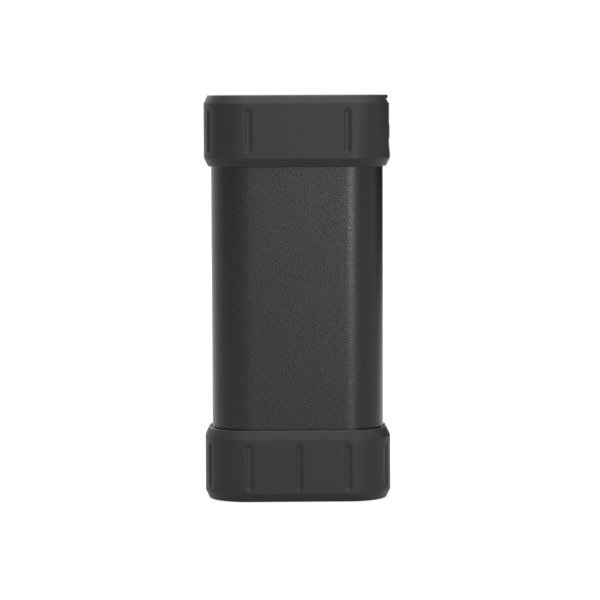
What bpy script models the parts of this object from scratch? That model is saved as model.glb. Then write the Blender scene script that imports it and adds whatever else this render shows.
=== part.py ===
"""Rechargeable two-cell hand warmer with rubber bumpers, at real size in metres, +Z up.

It stands on its lower bumper at the origin. The front faces -Y and the power button is on +X.
An aluminium tube holds the cells and the film heaters. A hard plastic housing closes each end,
and a rubber bumper slips over each housing. The ports look up, under a rubber flap.
"""
import math

import bmesh
import bpy
from mathutils import Matrix, Vector

# Cells: a common standard size, which sets the tube's section
CELL_DIAMETER = 0.0184
CELL_LENGTH = 0.0650
CELL_SPACING = 0.0008
CELL_EDGE = 0.0007
CELL_CAP_RADIUS = 0.0034
CELL_CAP_HEIGHT = 0.0011

# Clearances
FIT_GAP = 0.0003
SNUG_GAP = 0.00015
OVERRUN = 0.0010
JOINT_OVERLAP = 0.0001
SOLDER_GAP = 0.0001

# Tube, and what lies between its wall and the cells
TUBE_WALL = 0.0016
TUBE_CORNER = 0.0093
SIDE_ROOM = 0.0039
PAD_THICKNESS = 0.0009
PAD_END_ROOM = 0.0020
HEATER_THICKNESS = 0.0004
HEATER_EDGE_ROOM = 0.0007
HEATER_LOW_ROOM = 0.0030
HEATER_HIGH_ROOM = 0.0060

# Bumpers
TOP_BUMPER_HEIGHT = 0.0200
BOTTOM_BUMPER_HEIGHT = 0.0202
BUMPER_OVERHANG = 0.0020
BUMPER_CORNER = 0.0120
BUMPER_FLOOR = 0.0024
BUMPER_GAP = 0.0002
TOP_RIM_BEVEL = 0.0011
TOP_RIM_BEVEL_HEIGHT = 0.0023
TOP_SKIRT_BEVEL = 0.0014
TOP_SKIRT_BEVEL_HEIGHT = 0.0023
BOTTOM_RIM_BEVEL = 0.0015
BOTTOM_RIM_BEVEL_HEIGHT = 0.0025
BOTTOM_FOOT_BEVEL = 0.00135
BOTTOM_FOOT_BEVEL_HEIGHT = 0.0024

# Upright grooves moulded into the bumpers
GROOVE_RADIUS = 0.0014
GROOVE_DEPTH = 0.00045
GROOVE_PITCH = 0.0138
GROOVE_CORNER_ANGLE = math.radians(25)
TOP_GROOVE_TOP_ROOM = 0.0037
TOP_GROOVE_LENGTH = 0.0125
BOTTOM_GROOVE_FOOT_ROOM = 0.0034
BOTTOM_GROOVE_LENGTH = 0.0130

# End housings and seals
HOUSING_FLOOR = 0.0032
FOOT_HOUSING_HEIGHT = 0.0130
TOP_HOUSING_ROOF = 0.0020
TONGUE_WALL = 0.0012
TONGUE_EDGE_ROOM = 0.0006
TONGUE_REACH = 0.0070
SEAL_THICKNESS = 0.0008

# Cell holders and links
HOLDER_HEIGHT = 0.0090
HOLDER_PLATE = 0.0016
LINK_THICKNESS = 0.0003
LINK_WIDTH = 0.0040
LINK_FOOT_WIDTH = 0.0024
RISER_WIDTH = 0.0028
RISER_CLEARANCE = 0.0015
TAB_WIDTH = 0.0024
RISER_STAND = 0.0022
SLOT_GAP = 0.0003

# Circuit board and its rail
BOARD_THICKNESS = 0.0012
BOARD_HEIGHT = 0.0319
BOARD_SIDE_ROOM = 0.0014
RAIL_HEIGHT = 0.0030
RAIL_SLOT_DEPTH = 0.0022
RAIL_WALL = 0.0012
RAIL_WIDTH = 0.0340
LEG_WIDTH = 0.0052
LEG_DEPTH = 0.0040
LEG_BELOW_SCREW = 0.0031

# Ports, to the common connector sizes
USB_A_WIDTH = 0.0131
USB_A_HEIGHT = 0.00572
USB_A_LENGTH = 0.0140
USB_A_TONGUE = 0.0018
USB_A_CORNER = 0.0006
USB_C_WIDTH = 0.00894
USB_C_HEIGHT = 0.00326
USB_C_LENGTH = 0.00735
USB_C_TONGUE = 0.0007
PORT_WALL = 0.0003
PORT_SPACING = 0.0038
PORT_SINK = 0.0006
PORT_BASE = 0.0035
TONGUE_SINK = 0.0020
PORT_TONGUE_ROOM = 0.0009

# Port cover, its anchored end and the finger scoop
COVER_DEPTH = 0.0150
COVER_CORNER = 0.0016
COVER_MARGIN = 0.0030
COVER_PLUG_REACH = 0.0010
COVER_PLUG_GAP = 0.0006
PULL_TAB_WIDTH = 0.0080
PULL_TAB_THICKNESS = 0.0010
PULL_TAB_PROUD = 0.0002
PULL_TAB_CORNER = 0.0015
PULL_TAB_ROOT = 0.0012
SCOOP_WIDTH = 0.0124
SCOOP_LENGTH = 0.0026
SCOOP_DEPTH = 0.0017
COVER_ROOT_WIDTH = 0.0034
ROOT_STUD_RADIUS = 0.0014
ROOT_BARB_RADIUS = 0.0019
ROOT_BARB_HEIGHT = 0.0008

# Power button and its switch
BUTTON_WIDTH = 0.0096
BUTTON_HEIGHT = 0.0064
BUTTON_CORNER = 0.0028
BUTTON_BELOW_TOP = 0.01025
BUTTON_TRAVEL = 0.0005
BUTTON_INSET = 0.00005
FLANGE_LIP = 0.0007
FLANGE_THICKNESS = 0.0008
FLANGE_SILL = 0.00035
STEM_RADIUS = 0.0016
STEM_LENGTH = 0.0027
PLUNGER_GAP = 0.0002
PLUNGER_RADIUS = 0.0013
PLUNGER_LENGTH = 0.0030
PLUNGER_PROUD = 0.0008
SWITCH_DEPTH = 0.0038

# Charge lights
LED_SIZE = 0.0015
LED_PITCH = 0.0022
LED_COUNT = 4
LIGHT_STUD_RADIUS = 0.00055
LIGHT_STUD_INSET = 0.0070
LIGHT_PLATE_THICKNESS = 0.0012
LIGHT_PLATE_EDGE = 0.0008
LIGHT_INSET = 0.0003

# Screws
PLUG_SCREW_RADIUS = 0.00125
PLUG_SCREW_HEAD_RADIUS = 0.0022
PLUG_SCREW_HEAD_HEIGHT = 0.0012
PLUG_SCREW_LENGTH = 0.0090
PLUG_SCREW_INSET = 0.0019
BOARD_SCREW_RADIUS = 0.0010
BOARD_SCREW_HEAD_RADIUS = 0.0018
BOARD_SCREW_HEAD_HEIGHT = 0.0011
BOARD_SCREW_LENGTH = 0.0048
SCREW_SOCKET_SHARE = 0.5

# Parts on the board: width, height and how far each stands off it
CHIP_SIZE = 0.0060
CHARGER_SIZE = 0.0048
DRIVER_SIZE = 0.0040
CHIP_THICKNESS = 0.0009
INDUCTOR_SIZE = 0.0070
INDUCTOR_THICKNESS = 0.0032
INDUCTOR_CORNER = 0.0014
CAPACITOR_RADIUS = 0.0025
CAPACITOR_HEADROOM = 0.0014

# Where they stand: shares of the board's half width and of its height
CONTROLLER_SHARES = (-0.34, 0.42)
CHARGER_SHARES = (-0.12, 0.62)
DRIVER_SHARES = (0.24, 0.40)
INDUCTOR_SHARES = (0.26, 0.46)
CAPACITOR_SHARES = (-0.42, 0.34)
WIRE_PAD_SHARE = 0.25

# Wires and the temperature sensor
POWER_WIRE_RADIUS = 0.0007
HEATER_WIRE_RADIUS = 0.0005
SENSOR_RADIUS = 0.0011
SENSOR_LENGTH = 0.0034
SENSOR_WIRE_RADIUS = 0.0005
SENSOR_INSET = 0.0012
HEATER_WIRE_PITCH = 0.0025
WIRE_BEND = 0.0026
HEATER_WIRE_BEND_SHARE = 0.2

# How finely round shapes are divided
CORNER_STEPS = 8
SMALL_CORNER_STEPS = 4
CELL_STEPS = 30
ROUND_STEPS = 24
SMALL_ROUND_STEPS = 16
SCREW_STEPS = 16
SOCKET_SIDES = 6
WIRE_POINTS = 14
EDGE_SOFTENING = 0.0003
PLATE_CORNER = 0.0010
SHARP_ANGLE = math.radians(24)
MERGE_DISTANCE = 0.00001

# Section of the tube, from the cells outwards
CELL_RADIUS = CELL_DIAMETER / 2
CELL_X = CELL_RADIUS + CELL_SPACING / 2
PAD_INNER_Y = CELL_RADIUS + FIT_GAP
PAD_OUTER_Y = PAD_INNER_Y + PAD_THICKNESS
HEATER_INNER_Y = PAD_OUTER_Y + FIT_GAP
HEATER_OUTER_Y = HEATER_INNER_Y + HEATER_THICKNESS
INNER_Y = HEATER_OUTER_Y + FIT_GAP
INNER_X = CELL_X + CELL_RADIUS + SIDE_ROOM
TUBE_Y = INNER_Y + TUBE_WALL
TUBE_X = INNER_X + TUBE_WALL
TUBE_FLAT_X = TUBE_X - TUBE_CORNER
INNER_CORNER = TUBE_CORNER - TUBE_WALL
BUMPER_X = TUBE_X + BUMPER_OVERHANG
BUMPER_Y = TUBE_Y + BUMPER_OVERHANG
CAVITY_X = INNER_X - FIT_GAP - TONGUE_WALL
TONGUE_HALF_WIDTH = INNER_Y - INNER_CORNER - TONGUE_EDGE_ROOM

# Heights from the foot up
FOOT_HOUSING_LOW = BUMPER_FLOOR + FIT_GAP
FOOT_CAVITY_LOW = FOOT_HOUSING_LOW + HOUSING_FLOOR
FOOT_HOUSING_TOP = FOOT_HOUSING_LOW + FOOT_HOUSING_HEIGHT
FOOT_SEAL_LOW = FOOT_HOUSING_TOP + FIT_GAP
TUBE_LOW = FOOT_SEAL_LOW + SEAL_THICKNESS + FIT_GAP
LOW_HOLDER_LOW = FOOT_CAVITY_LOW + FIT_GAP
LOW_HOLDER_TOP = LOW_HOLDER_LOW + HOLDER_HEIGHT
LOW_LINK_LOW = LOW_HOLDER_LOW + HOLDER_PLATE + FIT_GAP
CELL_LOW = LOW_LINK_LOW + LINK_THICKNESS + FIT_GAP
CELL_TOP = CELL_LOW + CELL_LENGTH
TOP_LINK_LOW = CELL_TOP + FIT_GAP
HIGH_HOLDER_TOP = TOP_LINK_LOW + LINK_THICKNESS + FIT_GAP + HOLDER_PLATE
HIGH_HOLDER_LOW = HIGH_HOLDER_TOP - HOLDER_HEIGHT
RAIL_TOP = HIGH_HOLDER_TOP + RAIL_HEIGHT
BOARD_LOW = RAIL_TOP - RAIL_SLOT_DEPTH + FIT_GAP
BOARD_TOP = BOARD_LOW + BOARD_HEIGHT
CEILING = BOARD_TOP + FIT_GAP
TOP_HOUSING_TOP = CEILING + TOP_HOUSING_ROOF
OVERALL_HEIGHT = TOP_HOUSING_TOP + FIT_GAP + BUMPER_FLOOR

# Heights from the top down: the housing ends in a sill under the button's flange
BUTTON_Z = OVERALL_HEIGHT - BUTTON_BELOW_TOP
TOP_HOUSING_LOW = BUTTON_Z - BUTTON_HEIGHT / 2 - FLANGE_LIP - FIT_GAP - FLANGE_SILL
TOP_SEAL_TOP = TOP_HOUSING_LOW - FIT_GAP
TUBE_TOP = TOP_SEAL_TOP - SEAL_THICKNESS - FIT_GAP
TOP_BUMPER_LOW = OVERALL_HEIGHT - TOP_BUMPER_HEIGHT
PORT_MOUTH = TOP_HOUSING_TOP - PORT_SINK
COVER_LOW = TOP_HOUSING_TOP + FIT_GAP


def side_surface_x(half_x, half_y, corner, y):
    """How far out the right side of a rounded outline is at a given y."""
    past_flat = max(abs(y) - (half_y - corner), 0.0)
    return half_x - corner + math.sqrt(corner ** 2 - past_flat ** 2)


# Board and ports in plan
BOARD_FRONT = USB_A_HEIGHT / 2 + SOLDER_GAP
BOARD_BACK = BOARD_FRONT + BOARD_THICKNESS
BOARD_X = CAVITY_X - BOARD_SIDE_ROOM
TAB_SETBACK = BOARD_BACK + FIT_GAP + RAIL_WALL + FIT_GAP + TAB_WIDTH / 2
PLUG_SCREW_SETBACK = CELL_RADIUS - PLUG_SCREW_INSET
SENSOR_SETBACK = CELL_RADIUS - SENSOR_INSET
RISER_SETBACK = SENSOR_SETBACK - SENSOR_RADIUS - RISER_CLEARANCE - RISER_WIDTH / 2
USB_A_X = -(PORT_SPACING + USB_C_WIDTH) / 2
USB_C_X = (PORT_SPACING + USB_A_WIDTH) / 2
USB_C_Y = BOARD_FRONT - SOLDER_GAP - USB_C_HEIGHT / 2
COVER_LEFT = USB_A_X - USB_A_WIDTH / 2 - COVER_MARGIN
COVER_RIGHT = USB_C_X + USB_C_WIDTH / 2 + COVER_MARGIN
ROOT_RIGHT = COVER_LEFT - FIT_GAP
ROOT_LEFT = ROOT_RIGHT - COVER_ROOT_WIDTH
ROOT_X = (ROOT_LEFT + ROOT_RIGHT) / 2
HINGE_X = COVER_LEFT - FIT_GAP / 2

# Button train along X, from the outside in
BUTTON_FACE = BUMPER_X - BUTTON_INSET
FLANGE_HALF_WIDTH = BUTTON_WIDTH / 2 + FLANGE_LIP
FLANGE_OUTER = side_surface_x(TUBE_X, TUBE_Y, TUBE_CORNER, FLANGE_HALF_WIDTH) + BUMPER_GAP - FIT_GAP
FLANGE_INNER = FLANGE_OUTER - FLANGE_THICKNESS
STEM_TIP = FLANGE_INNER - STEM_LENGTH
POCKET_FLOOR = FLANGE_INNER - BUTTON_TRAVEL - FIT_GAP
PLUNGER_TIP = STEM_TIP - PLUNGER_GAP
PLUNGER_ROOT = PLUNGER_TIP - PLUNGER_LENGTH
SWITCH_FACE = PLUNGER_TIP - PLUNGER_PROUD
SWITCH_WELL_FLOOR = PLUNGER_ROOT - BUTTON_TRAVEL - FIT_GAP

# Charge lights in plan
LIGHT_Z = (TOP_HOUSING_LOW + CEILING) / 2
LIGHT_STUD_Y = BUMPER_Y - LIGHT_STUD_INSET
LIGHT_PLATE_Y = LIGHT_STUD_Y + LIGHT_PLATE_EDGE
LIGHT_PLATE_RIGHT = side_surface_x(CAVITY_X, INNER_Y, INNER_CORNER, LIGHT_PLATE_Y) - FIT_GAP
LIGHT_PLATE_LEFT = LIGHT_PLATE_RIGHT - LIGHT_PLATE_THICKNESS
LED_X = LIGHT_PLATE_LEFT - FIT_GAP - LED_SIZE / 2
LED_Y = BOARD_BACK + SOLDER_GAP + LED_SIZE / 2

# Height of the board's wire pads
WIRE_PAD_Z = BOARD_LOW + WIRE_PAD_SHARE * (BOARD_TOP - BOARD_LOW)

# Screws in the board, beside the larger port and beside the lights
BOARD_SCREW_Z = TOP_HOUSING_LOW - BOARD_SCREW_HEAD_RADIUS
BOARD_SCREW_LEFT = USB_A_X - USB_A_WIDTH / 2 - FIT_GAP - LEG_WIDTH / 2
BOARD_SCREW_RIGHT = LED_X - LED_SIZE / 2 - FIT_GAP - LEG_WIDTH / 2


def make_collection(name):
    """A new collection linked to the scene."""
    collection = bpy.data.collections.new(name)
    bpy.context.scene.collection.children.link(collection)
    return collection


def clear_scene():
    """Remove every object, so that the script starts from nothing."""
    for old in list(bpy.data.objects):
        bpy.data.objects.remove(old, do_unlink=True)


clear_scene()
PARTS = make_collection("hand_warmer")
CUTTERS = make_collection("cutters")


def make_material(name, colour, roughness, metallic=0.0, clear=False):
    """A Principled material with one colour and finish."""
    material = bpy.data.materials.new(name)
    material.use_nodes = True
    shader = material.node_tree.nodes["Principled BSDF"]
    shader.inputs["Base Color"].default_value = (*colour, 1.0)
    shader.inputs["Roughness"].default_value = roughness
    shader.inputs["Metallic"].default_value = metallic
    if clear:
        shader.inputs["Transmission Weight"].default_value = 1.0
    material.diffuse_color = (*colour, 1.0)
    return material


COATED_METAL = make_material("coated_aluminium", (0.052, 0.050, 0.049), 0.50, 0.3)
BUMPER_RUBBER = make_material("bumper_rubber", (0.044, 0.045, 0.048), 0.72)
COVER_RUBBER = make_material("cover_rubber", (0.036, 0.037, 0.040), 0.75)
BUTTON_RUBBER = make_material("button_rubber", (0.018, 0.018, 0.020), 0.60)
HOUSING_PLASTIC = make_material("housing_plastic", (0.020, 0.020, 0.021), 0.50)
SEAL_RUBBER = make_material("seal_silicone", (0.30, 0.05, 0.03), 0.60)
HOLDER_PLASTIC = make_material("holder_plastic", (0.55, 0.55, 0.52), 0.55)
CELL_WRAP = make_material("cell_wrap", (0.05, 0.17, 0.42), 0.35)
NICKEL = make_material("nickel", (0.62, 0.60, 0.56), 0.30, 1.0)
BOARD_GREEN = make_material("board_green", (0.010, 0.085, 0.035), 0.45)
CHIP_BLACK = make_material("chip_black", (0.015, 0.015, 0.016), 0.50)
FERRITE = make_material("ferrite_grey", (0.075, 0.075, 0.080), 0.65)
PORT_STEEL = make_material("port_steel", (0.60, 0.60, 0.60), 0.28, 1.0)
PORT_PLASTIC = make_material("port_plastic", (0.030, 0.030, 0.034), 0.45)
SWITCH_BLACK = make_material("switch_black", (0.020, 0.020, 0.022), 0.50)
SWITCH_WHITE = make_material("plunger_white", (0.75, 0.75, 0.72), 0.45)
CAN_METAL = make_material("capacitor_can", (0.55, 0.56, 0.58), 0.30, 1.0)
LAMP_WHITE = make_material("lamp_resin", (0.80, 0.80, 0.68), 0.35)
CLEAR_PLASTIC = make_material("clear_plastic", (0.85, 0.88, 0.90), 0.12, clear=True)
PAD_FOAM = make_material("pad_foam", (0.48, 0.50, 0.52), 0.90)
HEATER_FILM = make_material("heater_film", (0.42, 0.16, 0.03), 0.40)
SENSOR_BLACK = make_material("sensor_epoxy", (0.03, 0.03, 0.03), 0.40)
SCREW_STEEL = make_material("screw_steel", (0.36, 0.36, 0.37), 0.30, 1.0)
WIRE_RED = make_material("wire_red", (0.52, 0.02, 0.02), 0.45)
WIRE_BLACK = make_material("wire_black", (0.02, 0.02, 0.02), 0.45)
WIRE_WHITE = make_material("wire_white", (0.70, 0.70, 0.68), 0.45)


def add_object(name, mesh, material=None):
    """A part with its material or, without one, a cutter that is not part of the object."""
    obj = bpy.data.objects.new(name, mesh)
    if material is None:
        CUTTERS.objects.link(obj)
        obj.hide_render = True
        obj.display_type = "WIRE"
    else:
        PARTS.objects.link(obj)
        mesh.materials.append(material)
        mesh.shade_smooth()
        mesh.set_sharp_from_angle(angle=SHARP_ANGLE)
    return obj


def mesh_from(bm, name):
    """Turn a bmesh into a mesh whose faces point out."""
    bmesh.ops.recalc_face_normals(bm, faces=bm.faces[:])
    mesh = bpy.data.meshes.new(name)
    bm.to_mesh(mesh)
    bm.free()
    return mesh


def outline(half_x, half_y, corner):
    """Points round a rounded rectangle, as four quarter arcs."""
    points = []
    for quarter in range(4):
        start = quarter * math.pi / 2
        side_x = 1 if quarter in (0, 3) else -1
        side_y = 1 if quarter in (0, 1) else -1
        centre_x = side_x * (half_x - corner)
        centre_y = side_y * (half_y - corner)
        for step in range(CORNER_STEPS + 1):
            angle = start + step / CORNER_STEPS * math.pi / 2
            points.append((centre_x + corner * math.cos(angle), centre_y + corner * math.sin(angle)))
    return points


def loft(name, sections, material=None):
    """A solid through rounded sections, each given as z, half x, half y and corner radius."""
    bm = bmesh.new()
    rings = []
    for z, half_x, half_y, corner in sections:
        rings.append([bm.verts.new((x, y, z)) for x, y in outline(half_x, half_y, corner)])
    count = len(rings[0])
    for below, above in zip(rings, rings[1:]):
        for i in range(count):
            j = (i + 1) % count
            bm.faces.new((below[i], below[j], above[j], above[i]))
    bm.faces.new(list(reversed(rings[0])))
    bm.faces.new(rings[-1])
    return add_object(name, mesh_from(bm, name), material)


def block(name, low, high, corner=0.0, axis=2, material=None, steps=SMALL_CORNER_STEPS):
    """A box from its low to its high point, with the edges along one axis rounded."""
    low = Vector(low)
    high = Vector(high)
    size = high - low
    bm = bmesh.new()
    placed = Matrix.Translation((low + high) / 2) @ Matrix.Diagonal((*size, 1))
    bmesh.ops.create_cube(bm, size=1, matrix=placed)
    if corner > 0:
        edges = [e for e in bm.edges if abs((e.verts[0].co - e.verts[1].co).normalized()[axis]) > 0.5]
        across = [size[i] for i in range(3) if i != axis]
        radius = min(corner, min(across) / 2 - JOINT_OVERLAP / 2)
        bmesh.ops.bevel(bm, geom=edges, offset=radius, segments=steps, profile=0.5, affect="EDGES")
    return add_object(name, mesh_from(bm, name), material)


def rod(name, start, end, radius, material=None, steps=ROUND_STEPS):
    """A round rod between two points."""
    start = Vector(start)
    end = Vector(end)
    along = end - start
    turn = along.to_track_quat("Z", "Y").to_matrix().to_4x4()
    bm = bmesh.new()
    bmesh.ops.create_cone(
        bm, cap_ends=True, segments=steps, radius1=radius, radius2=radius, depth=along.length,
        matrix=Matrix.Translation((start + end) / 2) @ turn)
    return add_object(name, mesh_from(bm, name), material)


def turned(name, profile, place, material, steps):
    """A turned solid: a profile of radius and height, spun about the local Z axis."""
    bm = bmesh.new()
    points = [bm.verts.new((radius, 0, height)) for radius, height in profile]
    for first, second in zip(points, points[1:]):
        bm.edges.new((first, second))
    mesh = bpy.data.meshes.new(name)
    bm.to_mesh(mesh)
    bm.free()
    obj = add_object(name, mesh, material)
    obj.matrix_world = place
    spin = obj.modifiers.new("spin", "SCREW")
    spin.axis = "Z"
    spin.steps = steps
    spin.render_steps = steps
    spin.use_merge_vertices = True
    spin.merge_threshold = MERGE_DISTANCE
    spin.use_smooth_shade = True
    return obj


def combine(target, other, operation):
    """Cut, join or trim one solid by another, with the exact solver."""
    modifier = target.modifiers.new(operation.lower(), "BOOLEAN")
    modifier.operation = operation
    modifier.object = other
    modifier.solver = "EXACT"
    return target


def cut(target, *cutters):
    """Cut each cutter's shape out of a solid."""
    for cutter in cutters:
        combine(target, cutter, "DIFFERENCE")


def join(target, *additions):
    """Make a solid and its additions one body."""
    for addition in additions:
        combine(target, addition, "UNION")


def set_origin(obj, point):
    """Move an object's origin to a point and leave its shape where it is."""
    obj.data.transform(Matrix.Translation(-Vector(point)))
    obj.location = point


def smooth_path(points, count):
    """Points evenly spread in number along a smooth curve through the given ones."""
    knots = [Vector(p) for p in points]
    knots = [2 * knots[0] - knots[1]] + knots + [2 * knots[-1] - knots[-2]]
    path = []
    spans = len(knots) - 3
    for step in range(count):
        place = step / (count - 1) * spans
        span = min(int(place), spans - 1)
        t = place - span
        a, b, c, d = knots[span:span + 4]
        path.append(((2 * b) + (c - a) * t + (2 * a - 5 * b + 4 * c - d) * t ** 2
                     + (3 * b - a - 3 * c + d) * t ** 3) / 2)
    return path


def wire(name, points, radius, material):
    """An insulated wire along a smooth curve, with filled ends."""
    path = smooth_path(points, WIRE_POINTS)
    curve = bpy.data.curves.new(name, "CURVE")
    curve.dimensions = "3D"
    curve.bevel_depth = radius
    curve.bevel_resolution = 2
    curve.use_fill_caps = True
    spline = curve.splines.new("POLY")
    spline.points.add(len(path) - 1)
    for place, point in zip(spline.points, path):
        place.co = (*point, 1)
    obj = bpy.data.objects.new(name, curve)
    PARTS.objects.link(obj)
    curve.materials.append(material)
    return obj


def groove_places(centres, sides):
    """Centre line of each upright groove in plan: on the front, the back and the rounded corners."""
    places = []
    out = GROOVE_RADIUS - GROOVE_DEPTH
    for front in (-1, 1):
        for x in centres[front]:
            places.append((x, front * (BUMPER_Y + out)))
    reach = BUMPER_CORNER + out
    for side in sides:
        for front in (-1, 1):
            x = side * (BUMPER_X - BUMPER_CORNER + reach * math.cos(GROOVE_CORNER_ANGLE))
            y = front * (BUMPER_Y - BUMPER_CORNER + reach * math.sin(GROOVE_CORNER_ANGLE))
            places.append((x, y))
    return places


def groove_cutter(name, places, low, length):
    """Round-ended rods, each spun in place, so proud of the rubber that it scoops a shallow groove."""
    bm = bmesh.new()
    end_room = math.sqrt(GROOVE_RADIUS ** 2 - (GROOVE_RADIUS - GROOVE_DEPTH) ** 2)
    ends = ((-math.pi / 2, low + end_room), (0, low + length - end_room))
    for x, y in places:
        profile = []
        for first_angle, z in ends:
            for step in range(SMALL_CORNER_STEPS + 1):
                angle = first_angle + step / SMALL_CORNER_STEPS * math.pi / 2
                out = GROOVE_RADIUS * math.cos(angle)
                profile.append(bm.verts.new((x + out, y, z + GROOVE_RADIUS * math.sin(angle))))
        edges = [bm.edges.new(pair) for pair in zip(profile, profile[1:])]
        bmesh.ops.spin(
            bm, geom=profile + edges, cent=(x, y, 0), axis=(0, 0, 1), angle=2 * math.pi,
            steps=SMALL_ROUND_STEPS, use_merge=True)
    bmesh.ops.remove_doubles(bm, verts=bm.verts, dist=MERGE_DISTANCE)
    return add_object(name, mesh_from(bm, name))


def bumper_plug(name, low, high):
    """The space that the tube and its housing take up inside a bumper, with a fitting gap."""
    section = (TUBE_X + BUMPER_GAP, TUBE_Y + BUMPER_GAP, TUBE_CORNER + BUMPER_GAP)
    return loft(name, [(low, *section), (high, *section)])


def bumper_section(z, bevel, beside_tube=False):
    """A bumper's outline drawn in by a bevel. Beside the tube it is concentric with the tube's corners."""
    corner = TUBE_CORNER + BUMPER_OVERHANG if beside_tube else BUMPER_CORNER
    return z, BUMPER_X - bevel, BUMPER_Y - bevel, corner - bevel


def tube_block(name, low, high, inset=0.0, material=None):
    """A solid with the tube's outline, or one drawn in by an inset."""
    section = (TUBE_X - inset, TUBE_Y - inset, TUBE_CORNER - inset)
    return loft(name, [(low, *section), (high, *section)], material)


def cavity_block(name, low, high):
    """The hollow of an end housing, which leaves thicker walls at the sides for the tongues."""
    section = (CAVITY_X, INNER_Y, INNER_CORNER)
    return loft(name, [(low, *section), (high, *section)])


def body_shell():
    """The extruded tube: an open surface along its outer face, thickened inwards."""
    bm = bmesh.new()
    ring = [bm.verts.new((x, y, TUBE_LOW)) for x, y in outline(TUBE_X, TUBE_Y, TUBE_CORNER)]
    edges = [bm.edges.new((ring[i], ring[(i + 1) % len(ring)])) for i in range(len(ring))]
    grown = bmesh.ops.extrude_edge_only(bm, edges=edges)["geom"]
    for vert in grown:
        if isinstance(vert, bmesh.types.BMVert):
            vert.co.z = TUBE_TOP
    mesh = bpy.data.meshes.new("body_shell")
    bmesh.ops.recalc_face_normals(bm, faces=bm.faces[:])
    bm.to_mesh(mesh)
    bm.free()
    obj = add_object("body_shell", mesh, COATED_METAL)
    wall = obj.modifiers.new("wall", "SOLIDIFY")
    wall.thickness = TUBE_WALL
    wall.offset = -1
    wall.use_even_offset = True


def top_bumper():
    """Rubber cap over the upper housing, open for the port cover, the button and the lights."""
    cap = loft("top_bumper", [
        bumper_section(TOP_BUMPER_LOW, TOP_SKIRT_BEVEL, beside_tube=True),
        bumper_section(TOP_BUMPER_LOW + TOP_SKIRT_BEVEL_HEIGHT, 0),
        bumper_section(OVERALL_HEIGHT - TOP_RIM_BEVEL_HEIGHT, 0),
        bumper_section(OVERALL_HEIGHT, TOP_RIM_BEVEL)], BUMPER_RUBBER)
    cut(cap, bumper_plug("top_pocket", TOP_BUMPER_LOW - OVERRUN, TOP_HOUSING_TOP + FIT_GAP))

    half_y = COVER_DEPTH / 2 + FIT_GAP
    window = block(
        "port_window", (ROOT_LEFT - FIT_GAP, -half_y, TOP_HOUSING_TOP),
        (COVER_RIGHT + FIT_GAP, half_y, OVERALL_HEIGHT + OVERRUN), COVER_CORNER + FIT_GAP)
    channel_y = PULL_TAB_WIDTH / 2 + FIT_GAP
    channel_floor = OVERALL_HEIGHT - PULL_TAB_THICKNESS - FIT_GAP
    channel = block(
        "tab_channel", (COVER_RIGHT - OVERRUN, -channel_y, channel_floor),
        (BUMPER_X + OVERRUN, channel_y, OVERALL_HEIGHT + OVERRUN))
    scoop_left = BUMPER_X - TOP_RIM_BEVEL - SCOOP_LENGTH
    scoop = block(
        "finger_scoop", (scoop_left, -SCOOP_WIDTH / 2, OVERALL_HEIGHT - SCOOP_DEPTH),
        (BUMPER_X + OVERRUN, SCOOP_WIDTH / 2, OVERALL_HEIGHT + OVERRUN), SCOOP_DEPTH, axis=1)
    cut(cap, window, channel, scoop)

    opening_y = BUTTON_WIDTH / 2 + FIT_GAP
    opening_z = BUTTON_HEIGHT / 2 + FIT_GAP
    opening = block(
        "button_opening", (TUBE_X - OVERRUN, -opening_y, BUTTON_Z - opening_z),
        (BUMPER_X + OVERRUN, opening_y, BUTTON_Z + opening_z), BUTTON_CORNER + FIT_GAP, axis=0)
    cut(cap, opening, light_holes("bumper_light_holes", TUBE_FLAT_X))

    centres = {-1: (-GROOVE_PITCH, GROOVE_PITCH), 1: (-GROOVE_PITCH, 0, GROOVE_PITCH)}
    top = OVERALL_HEIGHT - TOP_GROOVE_TOP_ROOM
    cut(cap, groove_cutter(
        "top_grooves", groove_places(centres, (-1,)), top - TOP_GROOVE_LENGTH, TOP_GROOVE_LENGTH))


def bottom_bumper():
    """Rubber cup over the foot housing, which the warmer stands on."""
    cup = loft("bottom_bumper", [
        bumper_section(0, BOTTOM_FOOT_BEVEL),
        bumper_section(BOTTOM_FOOT_BEVEL_HEIGHT, 0),
        bumper_section(BOTTOM_BUMPER_HEIGHT - BOTTOM_RIM_BEVEL_HEIGHT, 0),
        bumper_section(BOTTOM_BUMPER_HEIGHT, BOTTOM_RIM_BEVEL, beside_tube=True)], BUMPER_RUBBER)
    cut(cup, bumper_plug("bottom_pocket", BUMPER_FLOOR, BOTTOM_BUMPER_HEIGHT + OVERRUN))
    row = (-GROOVE_PITCH, 0, GROOVE_PITCH)
    cut(cup, groove_cutter(
        "bottom_grooves", groove_places({-1: row, 1: row}, (-1, 1)),
        BOTTOM_GROOVE_FOOT_ROOM, BOTTOM_GROOVE_LENGTH))


def tongue(name, side, low, high):
    """A locating tongue at one side, which reaches into the tube."""
    inner = CAVITY_X + JOINT_OVERLAP
    outer = INNER_X - FIT_GAP
    first, second = sorted((side * inner, side * outer))
    return block(name, (first, -TONGUE_HALF_WIDTH, low), (second, TONGUE_HALF_WIDTH, high))


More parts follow.
